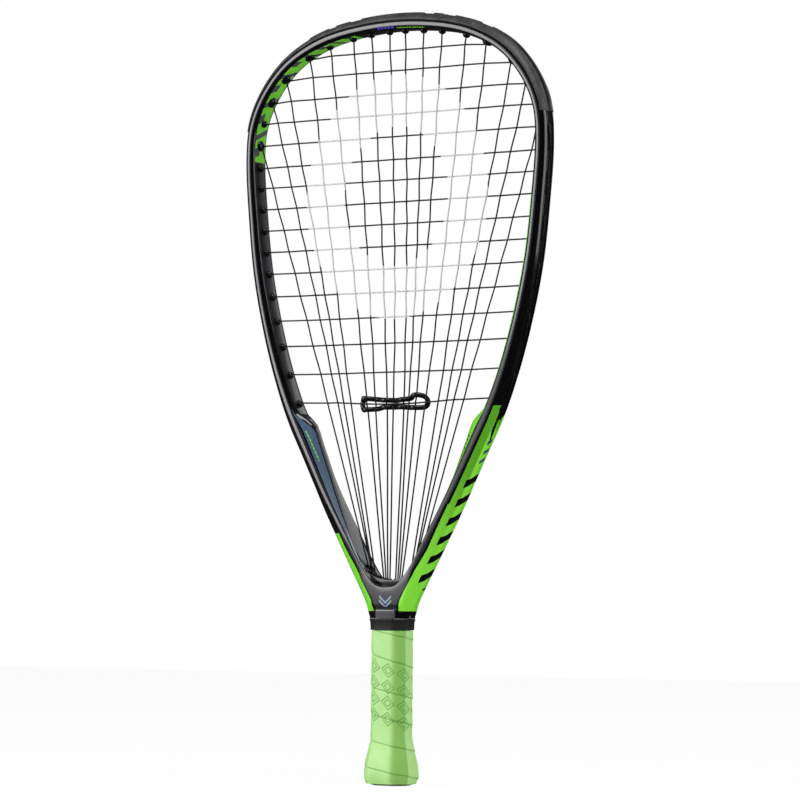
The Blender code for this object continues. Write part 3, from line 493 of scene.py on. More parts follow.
@dataclass(frozen=True)
class Hoop:
    """The frame's ridge line and the sizes of its beam, by height on that line."""

    ridge: Rows = (
        (0.0, 0.1406), (0.0085, 0.1421), (0.0148, 0.1474), (0.0205, 0.1545), (0.0342, 0.1758),
        (0.0477, 0.1976), (0.0603, 0.2195), (0.0720, 0.2416), (0.0832, 0.2625), (0.0960, 0.2920),
        (0.1090, 0.3335), (0.1183, 0.3760), (0.1235, 0.4200), (0.1260, 0.4630), (0.1238, 0.4820),
        (0.1173, 0.4983), (0.1080, 0.5120), (0.0945, 0.5253), (0.0803, 0.5340), (0.0600, 0.5420),
        (0.0300, 0.5476), (0.0, 0.5493))
    inner_reach: Rows = (
        (0.140, 0.0010), (0.165, 0.0010), (0.176, 0.0020), (0.197, 0.0044), (0.219, 0.0070),
        (0.2424, 0.0098), (0.2505, 0.0112), (0.2550, 0.0114), (0.2612, 0.0088), (0.2665, 0.0056),
        (0.272, 0.0046), (0.350, 0.0047), (0.463, 0.0037), (0.500, 0.0032), (0.530, 0.0027), (0.549, 0.0034))
    inner_flat: Rows = (
        (0.140, 0.0170), (0.176, 0.0148), (0.197, 0.0110), (0.219, 0.0066), (0.254, 0.0064),
        (0.2612, 0.0092), (0.2665, 0.0118), (0.272, 0.0138), (0.350, 0.0138), (0.463, 0.0138), (0.549, 0.0142))
    depth: Rows = ((0.140, 0.0192), (0.176, 0.0204), (0.219, 0.0202), (0.262, 0.0194), (0.350, 0.0188),
                   (0.463, 0.0184), (0.549, 0.0182))
    outer_reach: Rows = ((0.176, 0.0097), (0.197, 0.0086), (0.219, 0.0074), (0.262, 0.0070), (0.292, 0.0062),
                         (0.350, 0.0058), (0.463, 0.0053), (0.500, 0.0058), (0.530, 0.0068), (0.549, 0.0074))
    throat: tuple[Point, ...] = (
        (0.1406, 0.0, 0.1200), (0.1412, 0.0120, 0.1200), (0.1421, 0.0170, 0.1205), (0.1474, 0.0186, 0.1275),
        (0.1510, 0.0222, 0.1350), (0.1545, 0.0278, 0.1450), (0.1640, 0.0354, 0.1582), (0.1760, 0.0428, 0.1712))
    ridge_width: float = 0.0022
    brow: Rows = ((0.150, 0.0), (0.185, 0.0008), (0.270, 0.0009), (0.330, 0.0))
    outer_flat: float = 0.0086
    shoulder_out: float = 0.66
    shoulder_depth: float = 0.52
    panel_margin: float = 0.0094
    crown: float = 0.0003
    groove_depth: float = 0.0028
    groove_floor: float = 0.0068
    groove_start: float = 0.2460
    groove_fade: float = 0.0160
    tip: float = 0.0006
    samples: int = 2001
    middle: float = 0.2
    lowest_hole: float = 0.19
    grid: int = 400
    halvings: int = 24
    radii: tuple[float, ...] = (0.0, 0.0015, 0.0020, 0.0008, 0.0008, 0.0015, 0.0009, 0.0003, 0.0)

    def __post_init__(self) -> None:
        """Draw the ridge line as a smooth curve and measure along it."""
        before, after = ([(-x, z) for x, z in part][::-1] for part in (self.ridge[1:4], self.ridge[-4:-1]))
        line = self.smooth([*before, *self.ridge, *after], 2 * self.samples)
        right, low = line[:, 0] >= 0, line[:, 1] < self.middle
        first = int(np.argmax(right & low))
        last = len(line) - int(np.argmax((right & ~low)[::-1]))
        line = line[first:last]
        line[0, 0] = line[-1, 0] = 0.0
        arc = np.concatenate(([0.0], np.cumsum(np.linalg.norm(np.diff(line, axis=0), axis=1))))
        tangent = np.gradient(line, arc, axis=0)
        tangent[0], tangent[-1] = (1.0, 0.0), (-1.0, 0.0)
        tangent /= np.linalg.norm(tangent, axis=1)[:, None]
        for name, value in (("line", line), ("arc", arc), ("length", float(arc[-1])),
                            ("normal", np.stack((tangent[:, 1], -tangent[:, 0]), axis=1))):
            object.__setattr__(self, name, value)

    @staticmethod
    def smooth(points: Sequence[Sequence[float]], samples: int) -> np.ndarray:
        """Run a natural cubic spline through points.

        Args:
            points: The points.
            samples: How many points the result has.

        Returns:
            Points evenly spaced along the chords.
        """
        points = np.array(points, float)
        steps = np.linalg.norm(np.diff(points, axis=0), axis=1)
        t = np.concatenate(([0.0], np.cumsum(steps)))
        n = len(t)
        matrix = np.zeros((n, n))
        right = np.zeros((n, points.shape[1]))
        matrix[0, 0] = matrix[-1, -1] = 1.0
        for i in range(1, n - 1):
            matrix[i, i - 1:i + 2] = steps[i - 1], 2 * (steps[i - 1] + steps[i]), steps[i]
            right[i] = 6 * ((points[i + 1] - points[i]) / steps[i] - (points[i] - points[i - 1]) / steps[i - 1])
        bend = np.linalg.solve(matrix, right)
        value = np.linspace(0.0, t[-1], samples)
        i = np.minimum(np.searchsorted(t, value, side="right") - 1, n - 2)
        a, b, h = (t[i + 1] - value)[:, None], (value - t[i])[:, None], steps[i][:, None]
        return (bend[i] * a ** 3 / (6 * h) + bend[i + 1] * b ** 3 / (6 * h)
                + (points[i] / h - bend[i] * h / 6) * a + (points[i + 1] / h - bend[i + 1] * h / 6) * b)

    def at(self, s: float) -> tuple[np.ndarray, np.ndarray]:
        """Find the ridge point and the outward direction at a distance up the right side."""
        point = np.array([np.interp(s, self.arc, self.line[:, k]) for k in (0, 1)])
        normal = np.array([np.interp(s, self.arc, self.normal[:, k]) for k in (0, 1)])
        return point, normal / np.linalg.norm(normal)

    def height(self, s: float) -> float:
        """Give the ridge line's height at a distance along it."""
        return float(np.interp(s, self.arc, self.line[:, 1]))

    def place(self, s: float, out: float, y: float, side: int = 1) -> Vector:
        """Find a point of the beam.

        Args:
            s: Distance along the ridge line from the throat.
            out: Distance outwards from that line.
            y: Distance behind the string plane.
            side: The sign of x.

        Returns:
            The point.
        """
        point, normal = self.at(s)
        x, z = point + out * normal
        return Vector((side * x, y, z))

    def arc_at(self, z: float) -> float:
        """Give the distance along the ridge line where it passes a height."""
        return float(np.interp(z, self.line[:, 1], self.arc))

    def tip_out(self, s: float) -> float:
        """Give the distance from the ridge line to a grommet's inner end."""
        return -(read(self.inner_reach, self.height(s)) + self.tip)

    def groove_out(self, s: float) -> float:
        """Give the distance from the ridge line out to the groove's floor."""
        return read(self.outer_reach, self.height(s)) - self.groove_depth

    def solve(self, measure: Callable[[float], float]) -> float:
        """Find where a measure of the distance along the ridge line first passes through zero in the head.

        Args:
            measure: Takes a distance along the ridge line.

        Returns:
            That distance.
        """
        grid = np.linspace(self.arc_at(self.lowest_hole), self.length, self.grid)
        values = [measure(s) for s in grid]
        first = next(k for k in range(self.grid - 1) if values[k] * values[k + 1] <= 0)
        low, high = grid[first], grid[first + 1]
        for _ in range(self.halvings):
            middle = (low + high) / 2
            low, high = (low, middle) if measure(low) * measure(middle) <= 0 else (middle, high)
        return (low + high) / 2

    def outside(self, s: float) -> tuple[Span, Span, Span]:
        """Give the ridge's outer edge, the shoulder and the lip as (out, depth)."""
        height = self.height(s)
        half, lip, edge = read(self.depth, height) / 2, self.outer_flat / 2, self.ridge_width / 2
        reach = read(self.outer_reach, height)
        if height < self.throat[-1][0]:
            reach = float(np.linalg.norm(self.beside(height) - self.at(s)[0]))
            edge = max(edge, reach - self.panel_margin)
        return ((edge, half), (edge + self.shoulder_out * (reach - edge),
                               lip + self.shoulder_depth * (half - lip)), (reach, lip))

    def beside(self, height: float) -> np.ndarray:
        """Give the throat's outer point beside a ridge height."""
        heights = [row[0] for row in self.throat]
        return np.array([np.interp(height, heights, [row[k] for row in self.throat]) for k in (1, 2)])

    def section(self, s: float, side: int) -> np.ndarray:
        """Draw the beam's outline, its front half first, with its edges rounded.

        The edges are numbered as the corners of the outline: 0 at the string side's middle, 1 the wall's
        edge, 2 the waist, 3 and 4 the ridge, 5 the shoulder, 6 the lip, 7 the groove and 8 the outside's
        middle. They run on to EDGES round the back.

        Args:
            s: Distance along the ridge line.
            side: The sign of x.

        Returns:
            Points as x, y, z and the edge number.
        """
        ridge, normal = self.at(s)
        height = ridge[1]
        inner = read(self.inner_reach, height)
        flat, half = read(self.inner_flat, height) / 2, read(self.depth, height) / 2
        brow = self.ridge_width / 2 + read(self.brow, height)
        fade = min(max((height - self.groove_start) / self.groove_fade, 0.0), 1.0)
        groove = self.groove_depth * fade - self.crown * (1 - fade)
        outward = normal
        if height < self.throat[-1][0]:
            outward = self.beside(height) - ridge
            outward = outward / np.linalg.norm(outward)
        edge, shoulder, lip = self.outside(s)
        shape = [(-inner - self.crown, 0.0, normal), (-inner, flat, normal),
                 (-(inner + brow) / 2 - self.crown, (flat + half) / 2 + self.crown, normal), (-brow, half, normal)]
        shape += [(out, y, outward) for out, y in (
            edge, shoulder, lip, (lip[0] - groove, self.groove_floor / 2), (lip[0] - groove, 0.0))]
        front = []
        for number, (out, y, direction) in enumerate(shape):
            x, z = ridge + out * direction
            front.append((side * x, -y, z, number))
        front = rounded(front, self.radii, 6, 3)
        back = front[-2::-1] * (1, -1, 1, 1)
        back[:, 3] = EDGES - back[:, 3]
        return np.concatenate((front, back))


HOOP = Hoop()


@dataclass
class Hole:
    """A string hole through the beam."""

    s: float
    side: int
    main: int | None
    cross: int | None
    past_tip: float = 0.0013
    spread: float = 0.0019
    radii: Span = (0.0019, 0.0027)

    @property
    def shared(self) -> bool:
        """Tell whether both strings pass it."""
        return self.main is not None and self.cross is not None

    @property
    def high(self) -> bool:
        """Tell whether the guard over the head covers it."""
        return HOOP.height(self.s) > LAYOUT.bumper_start

    @property
    def radius(self) -> float:
        """Give its barrel's radius, which is the larger one where both strings pass."""
        return self.radii[self.shared]

    @property
    def t(self) -> float:
        """Give its signed distance round from the middle of the head."""
        return self.side * (HOOP.length - self.s)

    @property
    def inward(self) -> Vector:
        """Give the direction of its axis toward the strings."""
        return self.point(-1.0) - self.point(0.0)

    def point(self, out: float, y: float = 0.0) -> Vector:
        """Give a point on its axis, or before or behind it."""
        return HOOP.place(self.s, out, y, self.side)

    def lane(self, kind: Cord) -> float:
        """Give where a string lies across the hole."""
        return kind.value * self.spread / 2 if self.shared else 0.0

    def entry(self, kind: Cord) -> Vector:
        """Give a string's point just inside the head."""
        return self.point(HOOP.tip_out(self.s) - self.past_tip, self.lane(kind))


@dataclass
class Layout:
    """Where the strings run: the holes, the lanes and the weave.

    Mains are numbered from the left, crosses from the top, both from 1.
    """

    crosses: tuple[float, ...] = (
        0.5315, 0.5168, 0.5005, 0.4850, 0.4687, 0.4520, 0.4369, 0.4210,
        0.4050, 0.3890, 0.3727, 0.3558, 0.3376, 0.3186, 0.2976, 0.2764)
    shared: tuple[tuple[int, int], ...] = ((1, 4), (2, 3), (3, 2), (5, 1))
    tops: tuple[tuple[int, float], ...] = ((8, 0.0068), (7, 0.0229), (6, 0.0388), (5, 0.0596))
    feet: tuple[float, ...] = (0.0192, 0.0192, 0.0163, 0.0163, 0.0069, 0.0069, 0.0034, 0.0034)
    bows: tuple[float, ...] = (0.0, 0.0018, 0.0, -0.0024, 0.0, 0.0010, 0.0037, 0.0047, 0.0043, 0.0035, 0.0017,
                               0.0037, 0.0024, 0.0008, 0.0, 0.0010)
    bumper_start: float = 0.4780
    block_foot: float = 0.1350
    block_width: float = 0.0444
    block_rise: float = 0.0078
    block_middle: float = 0.0124
    block_cheek: float = 0.0110
    block_shoulder: float = 0.0216
    bore_clear: float = 0.0013
    bore_fan: float = 0.0905
    bore_stagger: float = 0.0014
    string: float = 0.00116
    weave: float = 0.00042
    draw: float = 0.0020
    draw_reach: float = 0.0500
    edge_clear: float = 0.0020
    strip_base: float = 0.0008
    damped: range = range(5, 13)

    def __post_init__(self) -> None:
        """Find every hole, where the grommets' tips meet the strings' lines."""
        self.mains = len(self.bows)
        self.holes: list[Hole] = []
        for cross, z in enumerate(self.crosses, 1):
            s = HOOP.solve(lambda t: HOOP.place(t, HOOP.tip_out(t), 0).z - z)
            self.holes += [Hole(s, side.value, dict(self.shared).get(cross), cross) for side in Side]
        for main, x in self.tops:
            s = HOOP.solve(lambda t: HOOP.place(t, HOOP.tip_out(t), 0).x - x
                           if HOOP.height(t) > self.bumper_start else 1.0)
            self.holes += [Hole(s, side.value, main, None) for side in Side]

    def side(self, main: int) -> int:
        """Tell on which side a main string runs, as the sign of x."""
        return 1 if main > self.mains / 2 else -1

    def from_edge(self, main: int) -> int:
        """Count a main string from the nearer edge."""
        return min(main, self.mains + 1 - main)

    def cross_hole(self, side: int, cross: int) -> Hole:
        """Find a cross string's hole on one side."""
        return next(hole for hole in self.holes if (hole.side, hole.cross) == (side, cross))

    def top_hole(self, main: int) -> Hole:
        """Find the hole at the top of a main string."""
        wanted = self.side(main), self.from_edge(main)
        return next(hole for hole in self.holes if (hole.side, hole.main) == wanted)

    def block_top(self, x: float) -> float:
        """Give the height of the throat block's hollowed top."""
        return self.block_foot + self.block_middle + self.block_rise * (2 * x / self.block_width) ** 2

    def foot(self, main: int, z: float | None = None) -> Vector:
        """Find a point on the slanted bore of a main string's foot.

        Args:
            main: The main string's number.
            z: The height, or just above the block's top.

        Returns:
            The point.
        """
        x = self.feet[self.from_edge(main) - 1] * self.side(main)
        z = self.block_top(x) + self.bore_clear if z is None else z
        x *= 1 - (self.block_top(x) - z) / self.bore_fan
        return Vector((x, -self.bore_stagger if main % 2 else self.bore_stagger, z))

    def main_x(self, main: int, z: float) -> float:
        """Give a main string's x at a height, with its slight bow."""
        top, foot = self.top_hole(main).entry(Cord.MAIN), self.foot(main)
        share = (z - foot.z) / (top.z - foot.z)
        return foot.x + (top.x - foot.x) * share + self.bows[main - 1] * math.sin(math.pi * share)

    def cross_z(self, cross: int, x: float) -> float:
        """Give a cross string's height at x; the lowest one is drawn down in its middle."""
        z = self.crosses[cross - 1]
        if cross == len(self.crosses):
            z -= self.draw * max(0.0, math.cos(math.pi / 2 * min(1.0, abs(x) / self.draw_reach)))
        return z

    def meets(self, main: int, cross: int) -> bool:
        """Tell whether a main and a cross string cross inside the head."""
        z, right = self.crosses[cross - 1], self.cross_hole(1, cross).entry(Cord.CROSS)
        return (z < self.top_hole(main).entry(Cord.MAIN).z - self.edge_clear
                and abs(self.main_x(main, z)) < right.x - self.edge_clear)

    def crossing(self, main: int, cross: int, kind: Cord) -> Vector:
        """Give a string's point where a main and a cross string pass, one before the other by turns."""
        z = self.cross_z(cross, self.main_x(main, self.crosses[cross - 1]))
        before = kind.value if (main + cross) % 2 else -kind.value
        return Vector((self.main_x(main, z), before * self.weave, z))


LAYOUT = Layout()


# ---------------------------------------------------------------- pieces

@dataclass
class Beam:
    """The moulded graphite frame: hoop, throat and the shaft into the handle."""

    finish: Finish
    stations: int = 250
    knot_room: float = 0.0012
    knot_step: float = 0.0008
    shaft_width: float = 0.0204
    shaft_depth: float = 0.0124
    shaft_bevel: float = 0.0031
    shaft_heights: Point = (0.0150, 0.1100, 0.1260)
    shaft_wall: float = 0.0019
    pocket_depth: float = 0.0102
    pocket_foot: float = 0.0189
    neck_width: float = 0.0352
    neck_depth: float = 0.0188
    neck_across: float = 0.0089
    neck_deep: float = 0.0056
    neck_round: float = 0.0012
    neck_edge: float = 3.5
    neck_heights: Span = (0.1198, 0.1259)

    def build(self) -> Piece:
        """Model the hoop, join the shaft and cut the throat block's pocket.

        Returns:
            The frame.
        """
        knots = [HOOP.arc_at(z) for z, _ in HOOP.inner_reach[5:11]]
        arcs = [s for s in np.linspace(0.0, HOOP.length, self.stations)
                if min(abs(s - knot) for knot in knots) > self.knot_room]
        arcs = sorted([*arcs, *(knot + k * self.knot_step for knot in knots for k in (-1, 0, 1))])
        rows = [(s, 1) for s in arcs] + [(s, -1) for s in arcs[-2::-1]]
        table = np.array([HOOP.section(s, side) for s, side in rows])
        flat = np.empty((*table.shape[:2], 2))
        flat[..., 0] = np.array([side * (HOOP.length - s) for s, side in rows])[:, None]
        flat[..., 1] = table[..., 3] / EDGES
        hoop = Bench.take(Bench.sheet(table[..., :3], flat))
        bpy.ops.object.mode_set(mode="EDIT")
        bpy.ops.mesh.remove_doubles(threshold=1e-6)
        bpy.ops.mesh.normals_make_consistent(inside=False)
        bpy.ops.object.mode_set(mode="OBJECT")
        for operation, tool in (("UNION", self.shaft()), ("DIFFERENCE", self.pocket())):
            Bench.modify(hoop, "BOOLEAN", operation=operation, solver="EXACT", object=tool)
            bpy.data.objects.remove(tool)
        return Bench.settle(hoop, "racket_frame", self.finish, sharp=38.0)

    def upright(self, name: str, loop: Sequence[Span], run: Sequence[Span], edge: float) -> Piece:
        """Stand an outline up into a tube.

        Args:
            name: The tube's name.
            loop: The outline as (x, y), closed.
            run: Scales of the outline and their heights, from end to end.
            edge: The edge number that its paint takes.

        Returns:
            The tube.
        """
        points = np.array([[(x * k, y * k, z) for k, z in run] for x, y in loop])
        flat = np.full((*points.shape[:2], 2), (HOOP.length, edge / EDGES))
        return Bench.settle(Bench.sheet(points, flat), name, self.finish)

    def shaft(self) -> Piece:
        """Model the octagonal tube inside the handle, open at its lower end."""
        corners = octagon(self.shaft_width, self.shaft_depth, self.shaft_bevel, self.shaft_bevel)
        thin, (low, floor, top) = 1 - 2 * self.shaft_wall / self.shaft_depth, self.shaft_heights
        run = ((0.0, floor), (thin, floor), (thin, low), (1.0, low), (1.0, top), (0.0, top))
        return self.upright("shaft", [*corners, corners[0]], run, EDGES / 2)

    def neck(self) -> Piece:
        """Model the short neck between the throat and the handle's collar."""
        corners = octagon(self.neck_width, self.neck_depth, self.neck_across, self.neck_deep)
        middle, (low, top) = (0.0, -self.neck_depth / 2), self.neck_heights
        loop = rounded([middle, corners[7], *corners[:7], middle], [self.neck_round] * 10)
        run = ((0.0, low), (1.0, low), (1.0, top - 0.0010), (1.0, top - 0.0005), (0.992, top - 0.0001),
               (0.975, top), (0.0, top))
        return self.upright("frame_neck", loop, run, self.neck_edge)

    def pocket(self) -> Piece:
        """Model the room that the throat block sits in."""
        half, foot = LAYOUT.block_width / 2 + GAP, LAYOUT.block_foot - GAP
        top = foot + LAYOUT.block_shoulder + 2 * GAP
        right = [(self.pocket_foot, foot), (half, foot + LAYOUT.block_cheek), (half, top),
                 (half / 2, top + half / 2)]
        return prism(mirrored(right), -self.pocket_depth / 2, self.pocket_depth / 2)


def prism(outline: Sequence[Span], near: float, far: float) -> Piece:
    """Extrude a front outline backwards.

    Args:
        outline: The outline's points as (x, z).
        near: The front's y.
        far: The back's y.

    Returns:
        The closed solid.
    """
    bpy.ops.object.select_all(action="DESELECT")
    bpy.ops.mesh.primitive_circle_add(vertices=len(outline), fill_type="NGON")
    item = bpy.context.active_object
    for point, (x, z) in zip(item.data.vertices, outline):
        point.co = (x, near, z)
    bpy.ops.object.mode_set(mode="EDIT")
    bpy.ops.mesh.select_all(action="SELECT")
    bpy.ops.mesh.extrude_region_move(TRANSFORM_OT_translate={"value": (0, far - near, 0)})
    bpy.ops.mesh.select_all(action="SELECT")
    bpy.ops.mesh.normals_make_consistent(inside=False)
    bpy.ops.object.mode_set(mode="OBJECT")
    return item


def lathe(profile: Rows, steps: int = 14) -> Piece:
    """Turn a closed profile of (radius, height) about Z.

    Args:
        profile: The profile's points, the last joining the first.
        steps: Steps round the axis.

    Returns:
        The ring.
    """
    turn = np.linspace(0.0, 2 * np.pi, steps + 1)
    points = [[(r * math.cos(a), r * math.sin(a), h) for r, h in (*profile, profile[0])] for a in turn]
    return Bench.sheet(np.array(points))


def aim(origin: Vector, toward: Vector, width: float = 1.0) -> Matrix:
    """Place a model whose axis is Z at an origin, with its axis in a direction and made wider."""
    turn = Vector((0, 0, 1)).rotation_difference(toward).to_matrix().to_4x4()
    return Matrix.Translation(origin) @ turn @ Matrix.Diagonal((width, width, 1.0, 1.0))


@dataclass
class Guards:
    """The plastic over the head and down the sides, with the grommets that carry the strings.

    At its lower ends the guard keeps the two shares of its height and its thickness that ends gives.
    """

    plastic: Finish
    satin: Finish
    channel: float = 0.0044
    rail: float = 0.0007
    wall: float = 0.0009
    flange: float = 0.45
    strip_start: float = 0.2640
    collar_size: float = 0.0019
    collar_height: float = 0.0026
    collar_root: float = -0.0012
    pad_drop: float = 0.0007
    pad_edge: float = 0.0008
    taper: float = 0.0140
    ends: Span = (0.3, 0.45)
    stations: int = 60
    proud: Rows = ((0.478, 0.0009), (0.500, 0.0010), (0.530, 0.0013), (0.5493, 0.0015))
    pads: Rows = ((-0.0733, -0.0565), (-0.0500, -0.0382), (-0.0280, 0.0249),
                  (0.0335, 0.0408), (0.0514, 0.0690), (0.0785, 0.1500))

    def pad(self, t: float) -> float:
        """Tell how far a place round the head is inside a raised pad, from 0 to 1."""
        inside = max(min(t - low, high - t) for low, high in self.pads)
        return min(1.0, max(0.0, inside / self.pad_edge + 0.5))

    @staticmethod
    def saddle(half: Sequence[Span], radii: Sequence[float], s: float, side: int) -> np.ndarray:
        """Round half an outline, mirror it to the back and set it on the beam.

        Args:
            half: Its corners as (out, depth).
            radii: Each corner's rounding.
            s: Distance along the ridge line.
            side: The sign of x.

        Returns:
            Points as x, y, z.
        """
        half = rounded(half, radii, 3)
        full = np.concatenate((half, half[-2::-1] * (1, -1)))
        return np.array([HOOP.place(s, out, -y, side) for out, y in full])

    def bumper_section(self, s: float, side: int) -> np.ndarray:
        """Draw the guard's outline, a saddle over the beam with a channel for the strings.

        Args:
            s: Distance along the ridge line.
            side: The sign of x.

        Returns:
            Points as x, y, z.
        """
        edge, shoulder, lip = (np.array(point) for point in HOOP.outside(s))
        tip = edge + self.flange * (shoulder - edge)
        flat, steep = (np.array((-way[1], way[0])) / np.linalg.norm(way)
                       for way in (shoulder - edge, lip - shoulder))
        corner = (flat + steep) / (1 + flat @ steep)
        drop = self.pad_drop * (1 - self.pad(side * (HOOP.length - s)))
        taper = min((s - HOOP.arc_at(LAYOUT.bumper_start)) / self.taper, 1.0)
        full, thick = (end + (1 - end) * taper for end in self.ends)
        high = lip[0] + read(self.proud, HOOP.height(s)) * full - drop * taper
        skin = GAP + self.wall * thick - drop * taper / 3
        floor = HOOP.groove_out(s) + GAP
        base, channel = floor + LAYOUT.strip_base, self.channel / 2
        half = [(base, 0.0), (base, channel), (high, channel), (high, lip[1]), tuple(shoulder + skin * corner),
                tuple(tip + skin * flat), tuple(tip + GAP * flat / 3), (floor, HOOP.groove_floor / 2 - GAP),
                (floor, 0.0)]
        return self.saddle(half, (0, 0.0003, 0.0005, 0.0008, 0.0012, 0.0004, 0.0002, 0.0002, 0), s, side)

    def bumper(self) -> Piece:
        """Model the guard over the head."""
        start = HOOP.arc_at(LAYOUT.bumper_start) + GAP
        edges = [HOOP.length - abs(end) + k * self.pad_edge / 2
                 for pad in self.pads for end in pad for k in (-1, 0, 1)]
        even = np.linspace(start, HOOP.length, self.stations + 10)
        arcs = sorted({round(s, 6) for s in [*even, *edges] if s >= start})
        table = [self.bumper_section(s, 1) for s in arcs] + [self.bumper_section(s, -1) for s in arcs[-2::-1]]
        return Bench.settle(Bench.sheet(np.array(table)), "head_guard", self.satin, caps=True)

    def strip_section(self, s: float, side: int) -> np.ndarray:
        """Draw a side strip's outline: a base in the groove with a low rail on each edge."""
        floor, wide = HOOP.groove_out(s) + GAP, HOOP.groove_floor / 2 - GAP
        base, channel = floor + LAYOUT.strip_base, self.channel / 2
        half = [(base, 0.0), (base, channel), (base + self.rail, channel + GAP), (base + self.rail, wide + GAP),
                (floor, wide), (floor, 0.0)]
        return self.saddle(half, (0, 0.0002, 0.0003, 0.0003, 0.0002, 0), s, side)

    def strip(self, side: Side) -> Piece:
        """Model one side's strip."""
        start, end = HOOP.arc_at(self.strip_start), HOOP.arc_at(LAYOUT.bumper_start) - GAP
        table = np.array([self.strip_section(s, side.value) for s in np.linspace(start, end, self.stations)])
        return Bench.settle(Bench.sheet(table), f"side_strip_{side.name.lower()}", self.plastic, caps=True)

    def collars(self, name: str, wanted: Callable[[Hole], bool]) -> Piece:
        """Set a grommet's end round the string at each hole.

        Args:
            name: The piece's name.
            wanted: Tells which holes belong to it.

        Returns:
            The collars, joined.
        """
        size, high, root = self.collar_size, self.collar_height, self.collar_root
        profile = [(1.48, root), (1.48, high * 0.25), (1.30, high * 0.65), (0.85, high * 0.92), (0.62, high),
                   (0.50, high), (0.42, high * 0.6), (0.40, root)]
        model = lathe([(r * size, h) for r, h in profile])
        places = [aim(hole.point(HOOP.tip_out(hole.s) + HOOP.tip), hole.inward, hole.radius / size)
                  for hole in LAYOUT.holes if wanted(hole)]
        return Bench.settle(Bench.copies(model, places), name, self.plastic, sharp=40.0)

    def build(self) -> Named:
        """Model the guards and their grommets.

        Returns:
            Pairs of a piece and the node that it stands for.
        """
        made = [(self.bumper(), "bumper_guard"),
                (self.collars("head_grommets", lambda hole: hole.high), "bumper_guard")]
        for side in Side:
            name = side.name.lower()
            strip, node = self.strip(side), f"grommet_strip_{name}"
            collars = self.collars(f"side_grommets_{name}", lambda hole: hole.side == side.value and not hole.high)
            made += [(strip, node), (collars, node)]
        return made


@dataclass
class ThroatBlock:
    """The insert that the main strings run into, with a collar for each."""

    plastic: Finish
    depth: float = 0.0096
    foot_half: float = 0.0186
    ear: float = 0.0017
    bevel: float = 0.0004
    collar_height: float = 0.0007
    collar_root: float = -0.0010
    steps: int = 14

    def build(self) -> list[Piece]:
        """Model the block and its collars.

        Returns:
            Both pieces.
        """
        half, foot = LAYOUT.block_width / 2, LAYOUT.block_foot
        arc = [(x, LAYOUT.block_top(x)) for x in np.linspace(0, half - self.ear, self.steps)]
        right = [(self.foot_half, foot), (half, foot + LAYOUT.block_cheek), (half, foot + LAYOUT.block_shoulder),
                 *arc[:0:-1]]
        block = prism(mirrored(right, arc[:1]), -self.depth / 2, self.depth / 2)
        Bench.modify(block, "BEVEL", width=self.bevel, segments=2, limit_method="ANGLE",
                     angle_limit=math.radians(40))
        block = Bench.settle(block, "throat_block", self.plastic, sharp=35.0)
        high, root = self.collar_height, self.collar_root
        model = lathe([(0.00155, root), (0.00155, high * 0.6), (0.00135, high), (0.00090, high),
                       (0.00074, high * 0.6), (0.00070, root)])
        places = []
        for main in range(1, LAYOUT.mains + 1):
            low = LAYOUT.foot(main, LAYOUT.block_top(LAYOUT.foot(main).x))
            places.append(aim(low, LAYOUT.foot(main, low.z + 0.01) - low))
        return [block, Bench.settle(Bench.copies(model, places), "throat_collars", self.plastic, sharp=40.0)]


